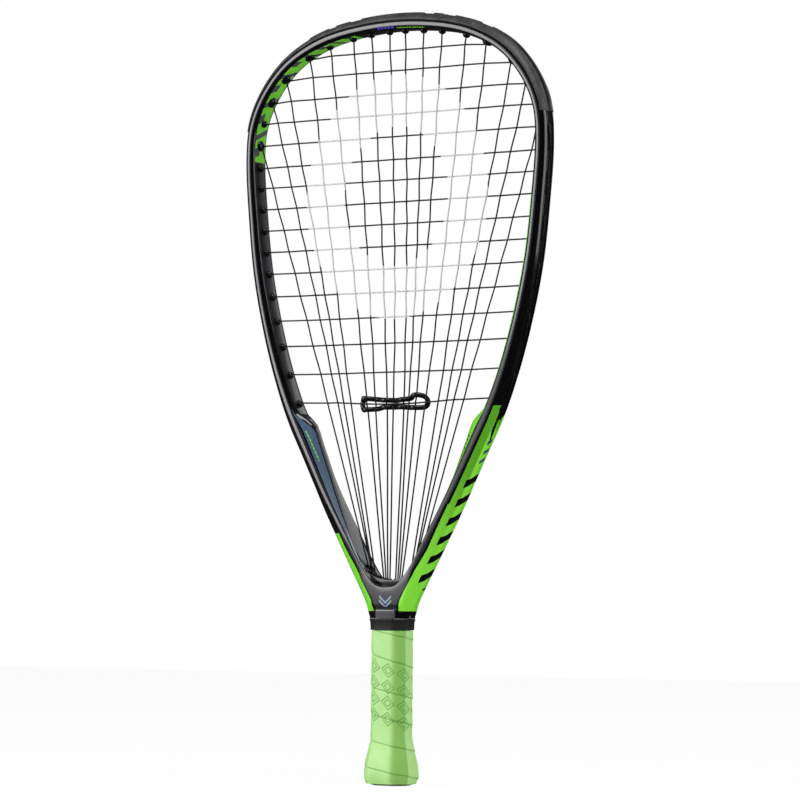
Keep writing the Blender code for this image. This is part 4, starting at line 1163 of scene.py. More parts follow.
@dataclass
class StringBed:
    """The two strings, woven through each other and turned in the grooves and the throat block."""

    finish: Finish
    corner: float = 0.00055
    tail: float = 0.0060
    stride: float = 0.0045
    closest: float = 1e-5
    steps: int = 5

    def run_out(self, s: float) -> float:
        """Give the distance from the ridge line out to a string that lies in the groove."""
        return HOOP.groove_out(s) + 2 * GAP + LAYOUT.strip_base + LAYOUT.string / 2

    def in_groove(self, t: float, s: float, y: float) -> Vector:
        """Find a place in the groove, out as far as at s, by its signed distance round from the head's middle."""
        return HOOP.place(HOOP.length - abs(t), self.run_out(s), y, 1 if t >= 0 else -1)

    def loop(self, first: Hole, second: Hole, kind: Cord) -> list[Vector]:
        """Run a string out through one hole, along the groove and in through the next.

        Args:
            first: The hole it leaves by.
            second: The hole it comes back by.
            kind: The string.

        Returns:
            Its points.
        """
        t1, t2, y1, y2 = first.t, second.t, first.lane(kind), second.lane(kind)
        turn = self.corner if t2 > t1 else -self.corner
        count = max(1, round(abs(t2 - t1) / self.stride))
        made = [first.entry(kind), self.bend(first, kind)]
        for share in np.linspace(0.0, 1.0, count + 1):
            t = t1 + turn + (t2 - t1 - 2 * turn) * share
            made.append(self.in_groove(t, HOOP.length - abs(t), y1 + (y2 - y1) * share))
        return made + [self.bend(second, kind), second.entry(kind)]

    def bend(self, hole: Hole, kind: Cord) -> Vector:
        """Give a string's point just short of the groove."""
        return hole.point(self.run_out(hole.s) - self.corner, hole.lane(kind))

    def end(self, hole: Hole, kind: Cord) -> list[Vector]:
        """Start a string from a short tail in the groove below its hole."""
        down, lane = 1 if hole.t > 0 else -1, hole.lane(kind)
        tail = [self.in_groove(hole.t + down * reach, hole.s, lane) for reach in (self.tail, self.corner)]
        return [*tail, self.bend(hole, kind), hole.entry(kind)]

    def woven(self, points: Sequence[Vector]) -> list[Vector]:
        """Ease a run over and under between its crossings.

        Args:
            points: The crossings in order, between the run's two ends.

        Returns:
            The run's points without its ends.
        """
        made = []
        for here, there in zip(points, points[1:]):
            for k in range(self.steps):
                share = k / self.steps
                ease = (1 - math.cos(math.pi * share)) / 2
                middle = here.lerp(there, share)
                made.append(Vector((middle.x, here.y + (there.y - here.y) * ease, middle.z)))
        return made[1:]

    def main_run(self, main: int) -> list[Vector]:
        """List a main string's crossings from the top down, its ends included."""
        made = [LAYOUT.crossing(main, cross, Cord.MAIN) for cross in range(1, len(LAYOUT.crosses) + 1)
                if LAYOUT.meets(main, cross)]
        if main in LAYOUT.damped:
            for z in Dampener.strands(LAYOUT.main_x(main, LAYOUT.crosses[-1])):
                side = LAYOUT.weave if main % 2 else -LAYOUT.weave
                made.append(Vector((LAYOUT.main_x(main, z), side, z)))
        made.sort(key=lambda point: -point.z)
        return [LAYOUT.top_hole(main).entry(Cord.MAIN), *made, LAYOUT.foot(main)]

    def turn(self, first: int, second: int) -> list[Vector]:
        """Turn from one main string's foot to its neighbour's under the throat block."""
        low = LAYOUT.block_foot - LAYOUT.string / 4
        start, end = LAYOUT.foot(first, low), LAYOUT.foot(second, low)
        middle, drop = (start + end) / 2, Vector((0, 0, -LAYOUT.string))
        return [LAYOUT.foot(first), start, start + drop + (middle - start) / 4, middle + drop,
                end + drop + (middle - end) / 4, end, LAYOUT.foot(second)]

    def main_route(self) -> list[Vector]:
        """Follow the main string through its sixteen runs."""
        route = self.end(LAYOUT.top_hole(1), Cord.MAIN)
        for main in range(1, LAYOUT.mains + 1):
            run = self.main_run(main)
            route += self.woven(run if main % 2 else run[::-1])
            if main % 2:
                route += self.turn(main, main + 1)
            elif main < LAYOUT.mains:
                route += self.loop(LAYOUT.top_hole(main), LAYOUT.top_hole(main + 1), Cord.MAIN)
        return route + self.end(LAYOUT.top_hole(LAYOUT.mains), Cord.MAIN)[::-1]

    def cross_route(self) -> list[Vector]:
        """Follow the cross string through its sixteen runs."""
        count = len(LAYOUT.crosses)
        route = self.end(LAYOUT.cross_hole(-1, 1), Cord.CROSS)
        for cross in range(1, count + 1):
            left, right = (LAYOUT.cross_hole(side, cross) for side in (-1, 1))
            run = [left.entry(Cord.CROSS), *(LAYOUT.crossing(main, cross, Cord.CROSS)
                                             for main in range(1, LAYOUT.mains + 1) if LAYOUT.meets(main, cross)),
                   right.entry(Cord.CROSS)]
            route += self.woven(run if cross % 2 else run[::-1])
            if cross < count:
                last = right if cross % 2 else left
                route += self.loop(last, LAYOUT.cross_hole(last.side, cross + 1), Cord.CROSS)
        return route + self.end(LAYOUT.cross_hole(-1, count), Cord.CROSS)[::-1]

    def build(self) -> Named:
        """Model both strings.

        Returns:
            Pairs of a piece and the node that it stands for.
        """
        made = []
        for name, node, route in (("strings_up", "main_string", self.main_route()),
                                  ("strings_across", "cross_string", self.cross_route())):
            clean = [route[0]] + [b for a, b in zip(route, route[1:]) if (b - a).length > self.closest]
            wire = Bench.wire(clean, LAYOUT.string / 2, sides=3)
            made.append((Bench.settle(wire, name, self.finish, sharp=60.0, merge=self.closest), node))
        return made


@dataclass
class Dampener:
    """The soft band woven across the strings under the lowest cross."""

    finish: Finish
    strand: float = 0.0038
    weave: float = 0.0026
    rings: int = 220

    LOOP = (
        (-0.0293, 0.2762), (-0.0282, 0.2784), (-0.0250, 0.2789), (-0.0168, 0.2782), (-0.0089, 0.2774),
        (-0.0010, 0.2771), (0.0063, 0.2772), (0.0104, 0.2777), (0.0140, 0.2789), (0.0176, 0.2801),
        (0.0213, 0.2805), (0.0248, 0.2795), (0.0270, 0.2771), (0.0275, 0.2745), (0.0260, 0.2723),
        (0.0230, 0.2714), (0.0183, 0.2714), (0.0112, 0.2718), (0.0063, 0.2721), (-0.0010, 0.2722),
        (-0.0089, 0.2720), (-0.0168, 0.2712), (-0.0245, 0.2706), (-0.0280, 0.2712), (-0.0293, 0.2735))

    @classmethod
    def strands(cls, x: float) -> list[float]:
        """Give the heights of its upper and lower strand at x."""
        right = max(range(len(cls.LOOP)), key=lambda k: cls.LOOP[k][0])
        return [read(strand, x) for strand in (cls.LOOP[:right], cls.LOOP[:right:-1])]

    def off_plane(self, x: float, z: float) -> float:
        """Give how far it stands behind the string plane: before odd strings, behind even ones."""
        columns = [self.LOOP[0][0]] + [LAYOUT.main_x(main, z) for main in LAYOUT.damped]
        number = float(np.interp(x, columns, range(LAYOUT.damped[0] - 1, LAYOUT.damped[-1] + 1)))
        return self.weave * math.cos(math.pi * number)

    def build(self) -> Piece:
        """Model the band."""
        loop = Hoop.smooth(self.LOOP + self.LOOP[:1], self.rings + 1)[:-1]
        route = [Vector((x, self.off_plane(x, z), z)) for x, z in loop]
        band = Bench.wire(route, self.strand / 2, sides=4, closed=True)
        return Bench.settle(band, "dampener_band", self.finish, sharp=60.0)


@dataclass
class Handle:
    """The grip wrap, the cap under it and the collar above it, all round one octagon."""

    wrap: Finish
    plastic: Finish
    rubber: Finish
    width: float = 0.0260
    depth: float = 0.0187
    bevel: float = 0.0056
    cap_top: float = 0.0240
    cap_floor: float = 0.0055
    cord_hole: float = 0.0035
    flare_top: float = 0.0380
    flare_height: float = 0.0085
    flare_reach: float = 0.0045
    flare_round: float = 0.0034
    thickness: float = 0.0017
    bottom: float = 0.0012
    top: float = 0.1110
    seams: tuple[float, ...] = (-0.0470, -0.0277, -0.0064, 0.0144, 0.0330, 0.0516, 0.0711, 0.0949, 0.1122,
                                0.1320, 0.1520)
    seam_side: float = 0.70
    corner: float = 0.0020
    girth: float = 0.0900
    collar_top: float = 0.1197
    collar_walls: Point = (0.0010, 0.0032, 0.0037)
    shares: tuple[float, ...] = (0.0005, 0.004, 0.012, 0.030, 0.080, 0.22, 0.36, 0.5, 0.64, 0.78, 0.90, 0.985,
                                 0.9995)
    lap: Rows = ((0.0, -0.00010), (0.004, 0.00018), (0.012, 0.00032), (0.030, 0.00040), (0.080, 0.00040),
                 (0.5, 0.00022), (0.90, 0.00004), (0.985, -0.00002), (1.0, -0.00010))

    def ring(self, offset: float) -> np.ndarray:
        """Draw the octagon round the handle with rounded corners.

        Args:
            offset: How far it stands off the pallets.

        Returns:
            Points as x, y and the share of the way round.
        """
        width, depth = self.width + 2 * offset, self.depth + 2 * offset
        bevel = self.bevel + (2 - math.sqrt(2)) * offset
        middle = ((width - bevel) / 2, (bevel - depth) / 2)
        corners = [middle, *octagon(width, depth, bevel, bevel), middle]
        loop = rounded(corners, [self.corner] * len(corners), 6)
        steps = np.linalg.norm(np.diff(loop, axis=0), axis=1)
        around = np.concatenate(([0.0], np.cumsum(steps))) / steps.sum()
        return np.column_stack((loop, around))

    def flare(self, z: float) -> float:
        """Give how far the butt's flare stands out at a height."""
        if z >= self.flare_height:
            share = max(0.0, (self.flare_top - z) / (self.flare_top - self.flare_height))
            return self.flare_reach * share * share * (3 - 2 * share)
        share = (self.flare_height - max(z, 0.0)) / self.flare_height
        return self.flare_reach - self.flare_round * (1 - math.sqrt(max(0.0, 1 - share * share)))

    def band(self) -> Piece:
        """Model the wrap, wound up the handle with each turn lapped over the last.

        Returns:
            The wrap.
        """
        turns = [k - self.seam_side for k in range(len(self.seams))]
        inside = (self.top, self.cap_top, *np.linspace(self.flare_height * 2, self.bottom, 6))
        points, flat = [], []
        for column, around in enumerate(self.ring(GAP)[:, 2]):
            line, marks = [], []
            for step in (turn + share for turn in range(len(self.seams)) for share in self.shares):
                z = min(max(float(np.interp(step - around, turns, self.seams)), self.bottom), self.top)
                share = (float(np.interp(z, self.seams, turns)) + around) % 1.0
                off = self.thickness + GAP + self.flare(z) + read(self.lap, share)
                line.append((*self.ring(off)[column, :2], z))
                marks.append((around * self.girth, share))
            for z in inside:
                line.append((*self.ring(GAP + self.flare(z))[column, :2], z))
                marks.append((around * self.girth, 0.5))
            points.append(line + line[:1])
            flat.append(marks + marks[:1])
        return Bench.settle(Bench.sheet(np.array(points), np.array(flat)), "grip_band", self.wrap, sharp=30.0,
                            merge=4e-6)

    def turned(self, name: str, rows: Sequence[Point], finish: Finish) -> Piece:
        """Model a closed sleeve round the handle.

        Args:
            name: Its name.
            rows: Its profile as (offset from the pallets or radius, height, roundness), the last row
                joining the first. Roundness 1 makes a circle of that radius.
            finish: Its material.

        Returns:
            The sleeve.
        """
        count = len(self.ring(0.0))
        turn = np.linspace(0.0, 2 * np.pi, count) - math.atan2(self.depth - self.bevel, self.width - self.bevel)
        circle = np.column_stack((np.cos(turn), np.sin(turn)))
        points = []
        for size, z, roundness in [*rows, rows[0]]:
            square = self.ring(size if roundness < 1 else 0.0)[:, :2]
            shape = square * (1 - roundness) + circle * size * roundness
            points.append(np.column_stack((shape, np.full(count, z))))
        return Bench.settle(Bench.sheet(np.array(points)), name, finish, sharp=35.0)

    def cap(self) -> Piece:
        """Model the flared cap with its cord hole and a ring let in round it.

        Returns:
            The cap.
        """
        hole, foot = self.cord_hole, self.flare(0)
        rows = [(hole + out, z, 1) for out, z in (
            (0.0, self.cap_floor), (0.0, 0.0007), (0.0002, 0.0002), (0.0007, 0.0), (0.0022, 0.0), (0.0025, 0.0005),
            (0.0032, 0.0005), (0.0035, 0.0))]
        rows += [(foot - 0.0012, 0.0, 0), (foot + 0.0002, 0.0003, 0)]
        rows += [(self.flare(z), z, 0) for z in (0.0012, 0.0025, 0.0045, 0.0075, 0.0110, 0.0150, 0.0195, 0.0240)]
        rows += [(GAP, self.cap_top, 0), (GAP, self.cap_floor, 0)]
        return self.turned("end_cap", rows, self.plastic)

    def collar(self) -> Piece:
        """Model the rubber collar above the wrap, with a lip round its upper end.

        Returns:
            The collar.
        """
        low, top, inner, body, lip = self.top + GAP, self.collar_top, *self.collar_walls
        rows = [(inner, low), (body - 0.0006, low), (body - 0.0003, low + 0.0003), (body, top - 0.0026),
                (body + 0.0002, top - 0.0020), (lip, top - 0.0012), (lip, top - 0.0005),
                (body + 0.0002, top - 0.0001), (body - 0.0006, top), (inner, top)]
        return self.turned("handle_collar", [(off, z, 0) for off, z in rows], self.rubber)


# ---------------------------------------------------------------- finishes

@dataclass(frozen=True)
class Ticks:
    """A run of dashes: its span across the beam and along it, their pitch and the share that each fills."""

    across: Span
    along: Span
    pitch: float
    share: float

    def mask(self, w: Signal, place: Signal, slant: Signal) -> Signal:
        """Mark the dashes, from the place across the beam, the one along the run and its leant copy."""
        return (w.within(*self.across) * place.within(*self.along)
                * ((slant / self.pitch).fraction() < self.share))


class BeamDesk(Desk):
    """A material laid out on the beam's own UV map."""

    def __init__(self, name: str) -> None:
        """Find the distance round from the head's middle, the edge number and the painted halves."""
        super().__init__(name)
        number = self.v * EDGES
        self.t = self.u
        self.w = EDGES / 2 - abs(number - EDGES / 2)
        self.front = self.y < 0
        self.lead = (self.t * (EDGES / 2 - number)) > 0
        self.trail = 1 - self.lead


@dataclass(frozen=True)
class FramePaint:
    """The frame's gloss black, its charcoal face, green and blue-grey panels and stripes, with painted light and
    shade on the green band and a painted sheen on the head's inner wall.

    The leading half is the front on the right and the back on the left. A width across the beam is a
    pair of edge numbers, 0 at the string side's middle to 8 at the outside's; the others are in metres.
    """

    black: str = "050507"
    charcoal: str = "2b2a31"
    green: str = "74d42f"
    # A lighter green: painted light on the green band low in the throat; also the outer flat's green and a tick
    # colour.
    bright: str = "86e43c"
    # Painted shade: the darker green that the band turns to higher up.
    shaded_green: str = "5aaa24"
    blue: str = "50637e"
    haze: str = "808c98"
    violet: str = "4a3cc0"
    navy: str = "33406a"
    grey: str = "4c5054"
    # Painted sheen: the grey of light reflected on the back half of the head's inner wall.
    steel: str = "343940"
    slate: str = "4a4f57"
    mark: str = "8a9bb5"
    face: Rows = ((0.120, 0.0087), (0.125, 0.0087), (0.133, 0.0107), (0.140, 0.0147), (0.146, 0.0185),
                  (0.1535, 0.0226), (0.1688, 0.0332), (0.185, 0.0420), (0.2015, 0.0512))
    face_across: Span = (2.72, 4.12)
    panel_across: Span = (2.9, 4.45)
    panel_gap: float = 0.0018
    panel_foot: float = 0.1250
    panel_tops: Span = (0.271, 0.181)
    side: float = 5.8
    side_top: float = 0.2705
    spear_foot: float = 0.2435
    spear_slope: float = 0.20
    slope_across: Span = (1.01, 2.50)
    wedge_foot: float = 0.150
    wedge_lean: float = 0.0115
    bright_up: Span = (0.205, 0.271)
    wall: float = 0.74
    wall_foot: float = 0.146
    # Heights over which the green band's painted light gives way to painted shade.
    green_shade_fade: Span = (0.150, 0.240)
    haze_fade: Span = (0.165, 0.245)
    # Where the painted sheen on the inner wall fades in, across the beam and from front to back.
    sheen_edge: Span = (0.74, 0.66)
    sheen_turn: Span = (-0.0050, 0.0060)
    head_foot: float = 0.258
    head_top: float = 0.47
    lip_across: Span = (0.70, 1.06)
    line_across: Span = (0.92, 2.15)
    line_top: float = 0.420
    inlay: float = 0.9
    inlay_round: Span = (0.0335, 0.178)
    inlay_clear: float = 0.062
    inlay_bars: Span = (0.0375, 0.174)
    inlay_pitch: float = 0.0262
    inlay_bar: float = 0.16
    inlay_short: Span = (0.40, 0.66)
    inlay_end: float = -0.0012
    violet_ticks: Ticks = Ticks((1.9, 2.75), (-0.0124, 0.0024), 0.0030, 0.7)
    head_ticks: Ticks = Ticks((1.75, 2.10), (0.0048, 0.0290), 0.0022, 0.75)
    side_bars: Ticks = Ticks((5.1, 9.0), (0.140, 0.226), 0.0135, 0.42)
    side_dashes: Ticks = Ticks((6.0, 9.0), (0.229, 0.248), 0.0066, 0.4)
    slope_ticks: Ticks = Ticks((1.40, 2.10), (0.224, 0.252), 0.0028, 0.5)
    wedge_ticks: Ticks = Ticks((1.785, 1.935), (0.2335, 0.2560), 0.0031, 0.78)
    bars_half: float = 0.0062
    dashes_half: float = 0.0026
    chevron_foot: float = 0.1270
    chevron_half: float = 0.0052
    chevron_stroke: float = 0.0016
    satin_fall: Span = (0.36, 0.28)
    satin_rise: Span = (0.150, 0.185)
    roughness: float = 0.16
    coat: float = 0.6
    fleck: float = 900.0
    peel: float = 1400.0
    peel_depth: float = 0.000005

    def make(self) -> Finish:
        """Paint the frame.

        Returns:
            The material.
        """
        desk = BeamDesk("frame_paint")
        z, w = desk.z, desk.w
        low = z < self.face[-1][0]
        half = z.table(self.face)
        face = low * (w > self.face_across[0]) * (abs(desk.x) < half) | (1 - low) * w.within(*self.face_across)
        wall = (w < self.wall) * (z > self.wall_foot)
        colour = desk.layers(self.black, [(self.charcoal, face), *self.panels(desk, low, half, wall),
                                          *self.inlays(desk), *self.marks(desk)])
        lip = w.within(*self.lip_across) * (z > self.head_foot)
        satin = desk.lead * face * desk.front * z.step(*self.satin_fall) * z.step(*self.satin_rise)
        rough, coat = self.roughness + (desk.noise(self.fleck) - 0.5) * 0.05, self.coat
        for mask, rougher, barer in ((face, 0.10, 0.0), (wall, 0.14, 0.0), (lip, 0.34, 0.6), (satin, 0.26, 0.45)):
            rough = rough + mask * rougher
            coat = coat - mask * barer if barer else coat
        return desk.finish(colour, rough, desk.noise(self.peel, 1.0), self.peel_depth, Coat_Weight=coat,
                           Coat_Roughness=0.06, IOR=1.45)

    def panels(self, desk: BeamDesk, low: Signal, half: Signal, wall: Signal) -> Layers:
        """Lay the coloured panels beside the face and down the slopes and walls, with painted light and shade on
        the green band and a painted sheen on the inner wall.

        Args:
            desk: The material.
            low: Where the face is as wide as its table says.
            half: Half the face's width there.
            wall: The string side's wall.

        Returns:
            Colours and masks, the lowest layer first.
        """
        z, w, lead, trail = desk.z, desk.w, desk.lead, desk.trail
        beyond = (low * (w > self.panel_across[0]) * (abs(desk.x) > half + self.panel_gap)
                  | (1 - low) * (w > self.panel_across[1]))
        tops = lead * self.panel_tops[0] + trail * self.panel_tops[1]
        side = w > self.side
        outer = beyond * z.within(self.panel_foot, tops) | side * z.within(self.panel_foot, self.side_top)
        slope = w.within(*self.slope_across)
        wedge = trail * slope * z.within(self.wedge_foot, self.spear_foot + w * self.wedge_lean)
        # Painted light and shade: the green band lighter low in the throat and darker higher up.
        lit_to_shaded_green = desk.paint(self.bright, self.shaded_green, z.step(*self.green_shade_fade))
        fading = desk.paint(self.haze, self.blue, z.step(*self.haze_fade))
        # Painted reflection: the head's inner wall turns lighter grey towards its back edge.
        sheen = w.step(*self.sheen_edge) * z.within(self.head_foot, self.head_top) * desk.y.step(*self.sheen_turn)
        return [(lit_to_shaded_green, outer * lead), (self.bright, outer * lead * side),
                (self.green, outer * trail | lead * slope * z.within(*self.bright_up)), (fading, wedge),
                (self.grey, wall * (z < self.head_foot)), (self.steel, sheen)]

    def inlays(self, desk: BeamDesk) -> Layers:
        """Lay the green strip on the head's inner wall with its slanted bars."""
        t, y = desk.t, desk.y
        far = abs(t)
        inside = (desk.w < self.inlay) * ((t < 0) | (far > self.inlay_clear))
        slant = ((far + y * 0.5) / self.inlay_pitch + 0.1).fraction()
        bars = (slant < self.inlay_bar) | slant.within(*self.inlay_short) * (y < self.inlay_end)
        return [(self.green, inside * far.within(*self.inlay_round)),
                (self.slate, bars * inside * far.within(*self.inlay_bars))]

    def marks(self, desk: BeamDesk) -> Layers:
        """Lay the ticks, bars and line, the plain double chevron, and the spear over them.

        Args:
            desk: The material.

        Returns:
            Colours and masks, the lowest layer first.
        """
        t, w, z, y, front, lead = desk.t, desk.w, desk.z, desk.y, desk.front, desk.lead
        right, deep, leant = t > 0, abs(y), z - y * 0.55
        wedge = w - (z - self.wedge_ticks.along[0]) * 14
        rise = z - abs(desk.x) * 0.9 - self.chevron_foot
        stroke = self.chevron_stroke
        chevron = rise.within(0.0, stroke) | rise.within(stroke * 2, stroke * 3)
        return [
            (self.violet, self.violet_ticks.mask(w, t, t) * front),
            (self.bright, self.head_ticks.mask(w, t, t) * front),
            (self.green, lead * w.within(*self.line_across) * z.within(self.head_foot, self.line_top) * front),
            (self.black, self.side_bars.mask(w, z, leant) * (deep < self.bars_half) * right),
            (self.navy, self.side_dashes.mask(w, z, leant) * (deep < self.dashes_half) * right),
            (self.black, self.slope_ticks.mask(w, z, z + w * 0.003) * lead),
            (self.bright, self.wedge_ticks.mask(wedge, z, z) * desk.trail),
            (self.mark, chevron * (abs(desk.x) < self.chevron_half) * w.within(2.9, 4.2) * front),
            (self.black, (w > self.side) * z.within(self.spear_foot, self.side_top)
             * (deep < (z - self.spear_foot) * self.spear_slope))]


@dataclass(frozen=True)
class Plain:
    """A finish of one colour with fine mottling and grain, in lumps per metre."""

    name: str
    colour: str
    roughness: float
    mottle: float = 0.15
    scale: float = 400.0
    relief: float = 0.00002
    metallic: float = 0.0
    coat: float = 0.0

    def make(self) -> Finish:
        """Mix the finish."""
        desk = Desk(self.name)
        cloud = desk.noise(self.scale / 8)
        base = linear(self.colour)
        dark = tuple(c * (1 - self.mottle) for c in base[:3]) + (1.0,)
        return desk.finish(desk.paint(dark, base, cloud.step(0.35, 0.65)), self.roughness + (cloud - 0.5) * 0.12,
                           desk.noise(self.scale * 4), self.relief, Metallic=self.metallic, Coat_Weight=self.coat)


@dataclass(frozen=True)
class StringFinish:
    """Black strings with a wide plain ring stencilled on their front."""

    black: str = "060607"
    ink: str = "c2c2c4"
    middle: float = 0.4250
    wide: float = 0.0800
    tall: float = 0.0900
    hollow: float = 0.34

    def make(self) -> Finish:
        """Mix the strings' finish."""
        desk = Desk("string_black_finish")
        grain = desk.noise(3600.0)
        across, up = desk.x / self.wide, (desk.z - self.middle) / self.tall
        size = across * across + up * up + desk.noise(260.0) * 0.04
        mask = size.within(self.hollow, 1.0) * (desk.y < 0.0003)
        return desk.finish(desk.paint(self.black, self.ink, mask), 0.5 + (grain - 0.5) * 0.1, grain, 0.00001)


@dataclass(frozen=True)
class GripFinish:
    """The tacky green wrap, with creases at its laps and a run of embossed lozenges, and painted shade on its
    front-right bevel and under the edges of its laps.
    """

    lit: str = "b0df8d"
    deep: str = "a6d980"
    # A darker green: painted shade under the laps' edges, and the lozenges' outlines.
    line: str = "58a03c"
    # Painted shade: the darker green of the front-right bevel, which turns away from the light.
    shade: str = "88bf5a"
    girth: float = Handle.girth
    # The width that the bevel's painted shade spreads over.
    flank: float = 0.0046
    run_foot: float = 0.0395
    run_lean: float = 0.26
    tall: float = 0.0116
    wide: float = 0.0128
    count: float = 4.0
    # Where the painted shade at each lap's edges falls off, as shares across the turn.
    laps: Rows = ((0.035, 0.0), (0.955, 1.0))
    rims: tuple[tuple[float, ...], ...] = ((0.74, 0.80, 0.96, 0.90), (0.34, 0.40, 0.56, 0.50))

    def make(self) -> Finish:
        """Mix the wrap's finish.

        Returns:
            The material.
        """
        desk = Desk("grip_wrap_finish")
        fall, rise = (desk.v.step(*lap) for lap in self.laps)
        around = ((desk.u / self.girth + 0.5).fraction() - 0.5) * self.girth
        # Painted shade on the front-right bevel, deepening across it.
        flank = (around + self.flank * 2).step(0.0, self.flank * 2) * (around < self.flank)
        along = (desk.z - self.run_foot + around * self.run_lean) / self.tall
        size = (abs(along.fraction() - 0.5) + abs((around / self.wide + 0.2).fraction() - 0.5)) * 2
        outer, inner = (size.step(*rim[:2]) * size.step(*rim[2:]) for rim in self.rims)
        ring = (outer | inner) * along.within(0.0, self.count)
        wrap = desk.paint(self.deep, self.lit, desk.noise(90.0, 3.0).step(0.25, 0.70))
        # Painted shade along the edges of the laps.
        edge = (fall | rise) * 0.6
        colour = desk.layers(wrap, [(self.shade, flank), (self.line, edge), (self.line, ring * 0.9)])
        grain = desk.noise(2200.0)
        return desk.finish(colour, 0.50 + (grain - 0.5) * 0.12, 0.6 + grain * 0.22 - ring * 0.4, 0.00016)


# ---------------------------------------------------------------- studio

@dataclass(frozen=True)
class Lamp:
    """A soft rectangular lamp."""

    name: str
    place: Point
    size: Span
    power: float

    def light(self, target: Point) -> None:
        """Add the lamp, aimed at a point."""
        bpy.ops.object.light_add(type="AREA", location=self.place)
        lamp = bpy.context.active_object
        lamp.name = self.name
        lamp.data.shape = "RECTANGLE"
        lamp.data.size, lamp.data.size_y = self.size
        lamp.data.energy = self.power
        lamp.rotation_euler = (Vector(target) - Vector(self.place)).to_track_quat("-Z", "Y").to_euler()


@dataclass(frozen=True)
class Studio:
    """The camera at the photograph's angle, in degrees and pixels, soft lamps and a pale floor."""

    turn: float = 34.0
    tilt: float = 3.09
    roll: float = 0.51
    distance: float = 2.803
    height: float = 0.126
    focal: float = 3885.0
    picture: float = 800.0
    shift: float = 0.0070
    sensor: float = 36.0
    far: float = 50.0
    middle: Point = (0.0, 0.0, 0.28)
    air_level: float = 0.24
    gloss_level: float = 0.03
    floor_glow: float = 0.955
    floor_size: float = 8.0
    lamps: tuple[Lamp, ...] = (
        Lamp("key_lamp", (-1.61, -1.79, 1.16), (1.5, 2.1), 57.0),
        Lamp("side_lamp", (2.40, 0.30, 0.8), (1.6, 1.6), 22.0),
        Lamp("back_lamp", (0.30, 2.25, 1.1), (1.4, 1.8), 9.0),
        Lamp("top_lamp", (0.90, -0.60, 2.7), (1.2, 1.2), 28.0))

    def camera(self) -> None:
        """Set up the camera."""
        turn, tilt, roll = (math.radians(angle) for angle in (self.turn, self.tilt, self.roll))
        forward = Vector((-math.sin(turn) * math.cos(tilt), math.cos(turn) * math.cos(tilt), math.sin(tilt)))
        right = Vector((math.cos(turn), math.sin(turn), 0.0))
        up = right.cross(forward)
        level = math.cos(roll) * right + math.sin(roll) * up
        upright = -math.sin(roll) * right + math.cos(roll) * up
        place = Matrix((level, upright, -forward)).transposed().to_4x4()
        place.translation = (self.distance * math.sin(turn), -self.distance * math.cos(turn), self.height)
        bpy.ops.object.camera_add()
        camera = bpy.context.active_object
        camera.name = "photo_camera"
        camera.matrix_world = place
        camera.data.sensor_width = self.sensor
        camera.data.lens = self.sensor * self.focal / self.picture
        camera.data.shift_x = self.shift
        camera.data.clip_end = self.far
        bpy.context.scene.camera = camera

    def world(self) -> None:
        """Light the scene softly from all round, white behind the racket."""
        world = bpy.data.worlds.new("studio_air")
        world.use_nodes = True
        air = Board(world.node_tree)
        ray = air.node("ShaderNodeLightPath").outputs
        white, soft, dim = (air.node("ShaderNodeBackground", {"Strength": strength, **tint}).outputs[0]
                            for strength, tint in ((1.0, {"Color": "ffffff"}), (self.air_level, {}),
                                                   (self.gloss_level, {})))
        lit = air.blend(ray["Is Glossy Ray"], soft, dim)
        air.node("ShaderNodeOutputWorld", {0: air.blend(ray["Is Camera Ray"], lit, white)})
        bpy.context.scene.world = world

    def floor(self) -> None:
        """Lay a pale floor that keeps the racket's shadow."""
        desk = Desk("floor_pale")
        pale = desk.paint("f6f6f6", "fcfcfc", desk.noise(3.0))
        matt = desk.shader(pale, 0.9, Specular_IOR_Level=0.0)
        ray = desk.node("ShaderNodeLightPath").outputs
        glow, dim = (desk.node("ShaderNodeEmission", {"Color": "ffffff", "Strength": strength}).outputs[0]
                     for strength in (1.0, self.gloss_level))
        seen = desk.blend(Signal(desk, ray["Is Camera Ray"]) * self.floor_glow, matt, glow)
        desk.close(desk.blend(ray["Is Glossy Ray"], seen, dim))
        bpy.ops.object.select_all(action="DESELECT")
        bpy.ops.mesh.primitive_plane_add(size=self.floor_size, location=(0, 0, 0))
        floor = bpy.context.active_object
        floor.name = "studio_floor"
        floor.data.materials.append(desk.material)

    def build(self) -> None:
        """Set up the whole studio."""
        bpy.context.scene.view_settings.view_transform = "Standard"
        self.camera()
        self.world()
        self.floor()
        for lamp in self.lamps:
            lamp.light(self.middle)


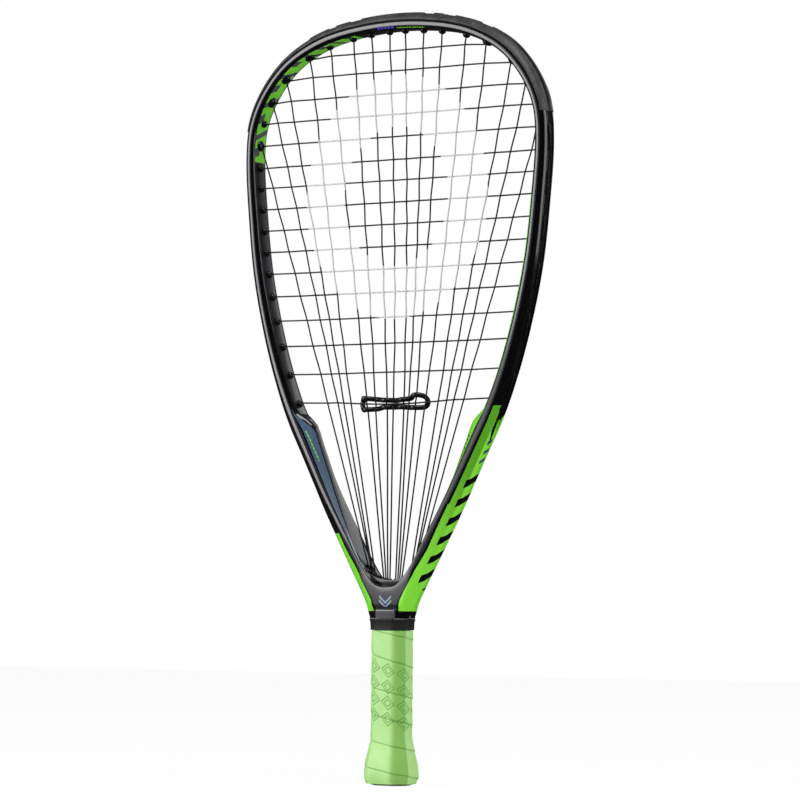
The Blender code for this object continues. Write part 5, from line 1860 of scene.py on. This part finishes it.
def dress(node: str, finish: Finish) -> None:
    """Give a node of the frame a finish in place of its plain one."""
    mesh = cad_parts[node].data
    mesh.materials.clear()
    mesh.materials.append(finish)


def mount(piece: Piece, node: str) -> None:
    """Let a piece ride on the frame and stand for its node.

    Args:
        piece: The piece.
        node: The node that it stands for.
    """
    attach(piece, "root")
    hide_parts(node)
    LOG.info("%s: %d faces, for %s", piece.name, len(piece.data.polygons), node)


def main() -> None:
    """Build the racket's pieces in order, dress the rest and set up the studio."""
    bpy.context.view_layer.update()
    plastic = Plain("grommet_black", "0d0d0f", roughness=0.26, mottle=0.3, scale=500.0).make()
    satin = Plain("guard_satin", "444443", roughness=0.42, mottle=0.35, scale=900.0, relief=0.00006).make()
    rubber = Plain("rubber_black", "262628", roughness=0.36, mottle=0.2, scale=600.0, coat=0.3).make()
    soft = Plain("band_rubber", "101012", roughness=0.38, mottle=0.2, scale=600.0, relief=0.00004,
                 coat=0.2).make()
    beam = Beam(FramePaint().make())
    mount(beam.build(), "frame")
    mount(beam.neck(), "frame")
    for piece, node in Guards(plastic, satin).build():
        mount(piece, node)
    for piece in ThroatBlock(plastic).build():
        mount(piece, "throat_grommet_block")
    for piece, node in StringBed(StringFinish().make()).build():
        mount(piece, node)
    mount(Dampener(soft).build(), "vibration_dampener")
    handle = Handle(GripFinish().make(), plastic, rubber)
    mount(handle.band(), "grip_wrap")
    mount(handle.cap(), "butt_cap")
    mount(handle.collar(), "grip_collar")
    foam = Plain("pallet_foam_finish", "55565a", roughness=0.8, mottle=0.2, scale=700.0, relief=0.00008).make()
    tape = Plain("tape_black_finish", "1c1c1e", roughness=0.45, mottle=0.2, scale=500.0, relief=0.00003).make()
    steel = Plain("staple_steel", "b9bbc0", roughness=0.3, mottle=0.1, scale=900.0, relief=0.00001,
                  metallic=1.0).make()
    for side in ("front", "back"):
        dress(f"handle_pallet_{side}", foam)
    dress("finishing_tape", tape)
    for number in range(1, 5):
        dress(f"butt_cap_staple_{number}", steel)
    Studio().build()
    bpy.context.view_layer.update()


if __name__ == "__main__":
    logging.basicConfig(level=logging.INFO, format="%(message)s")
    main()
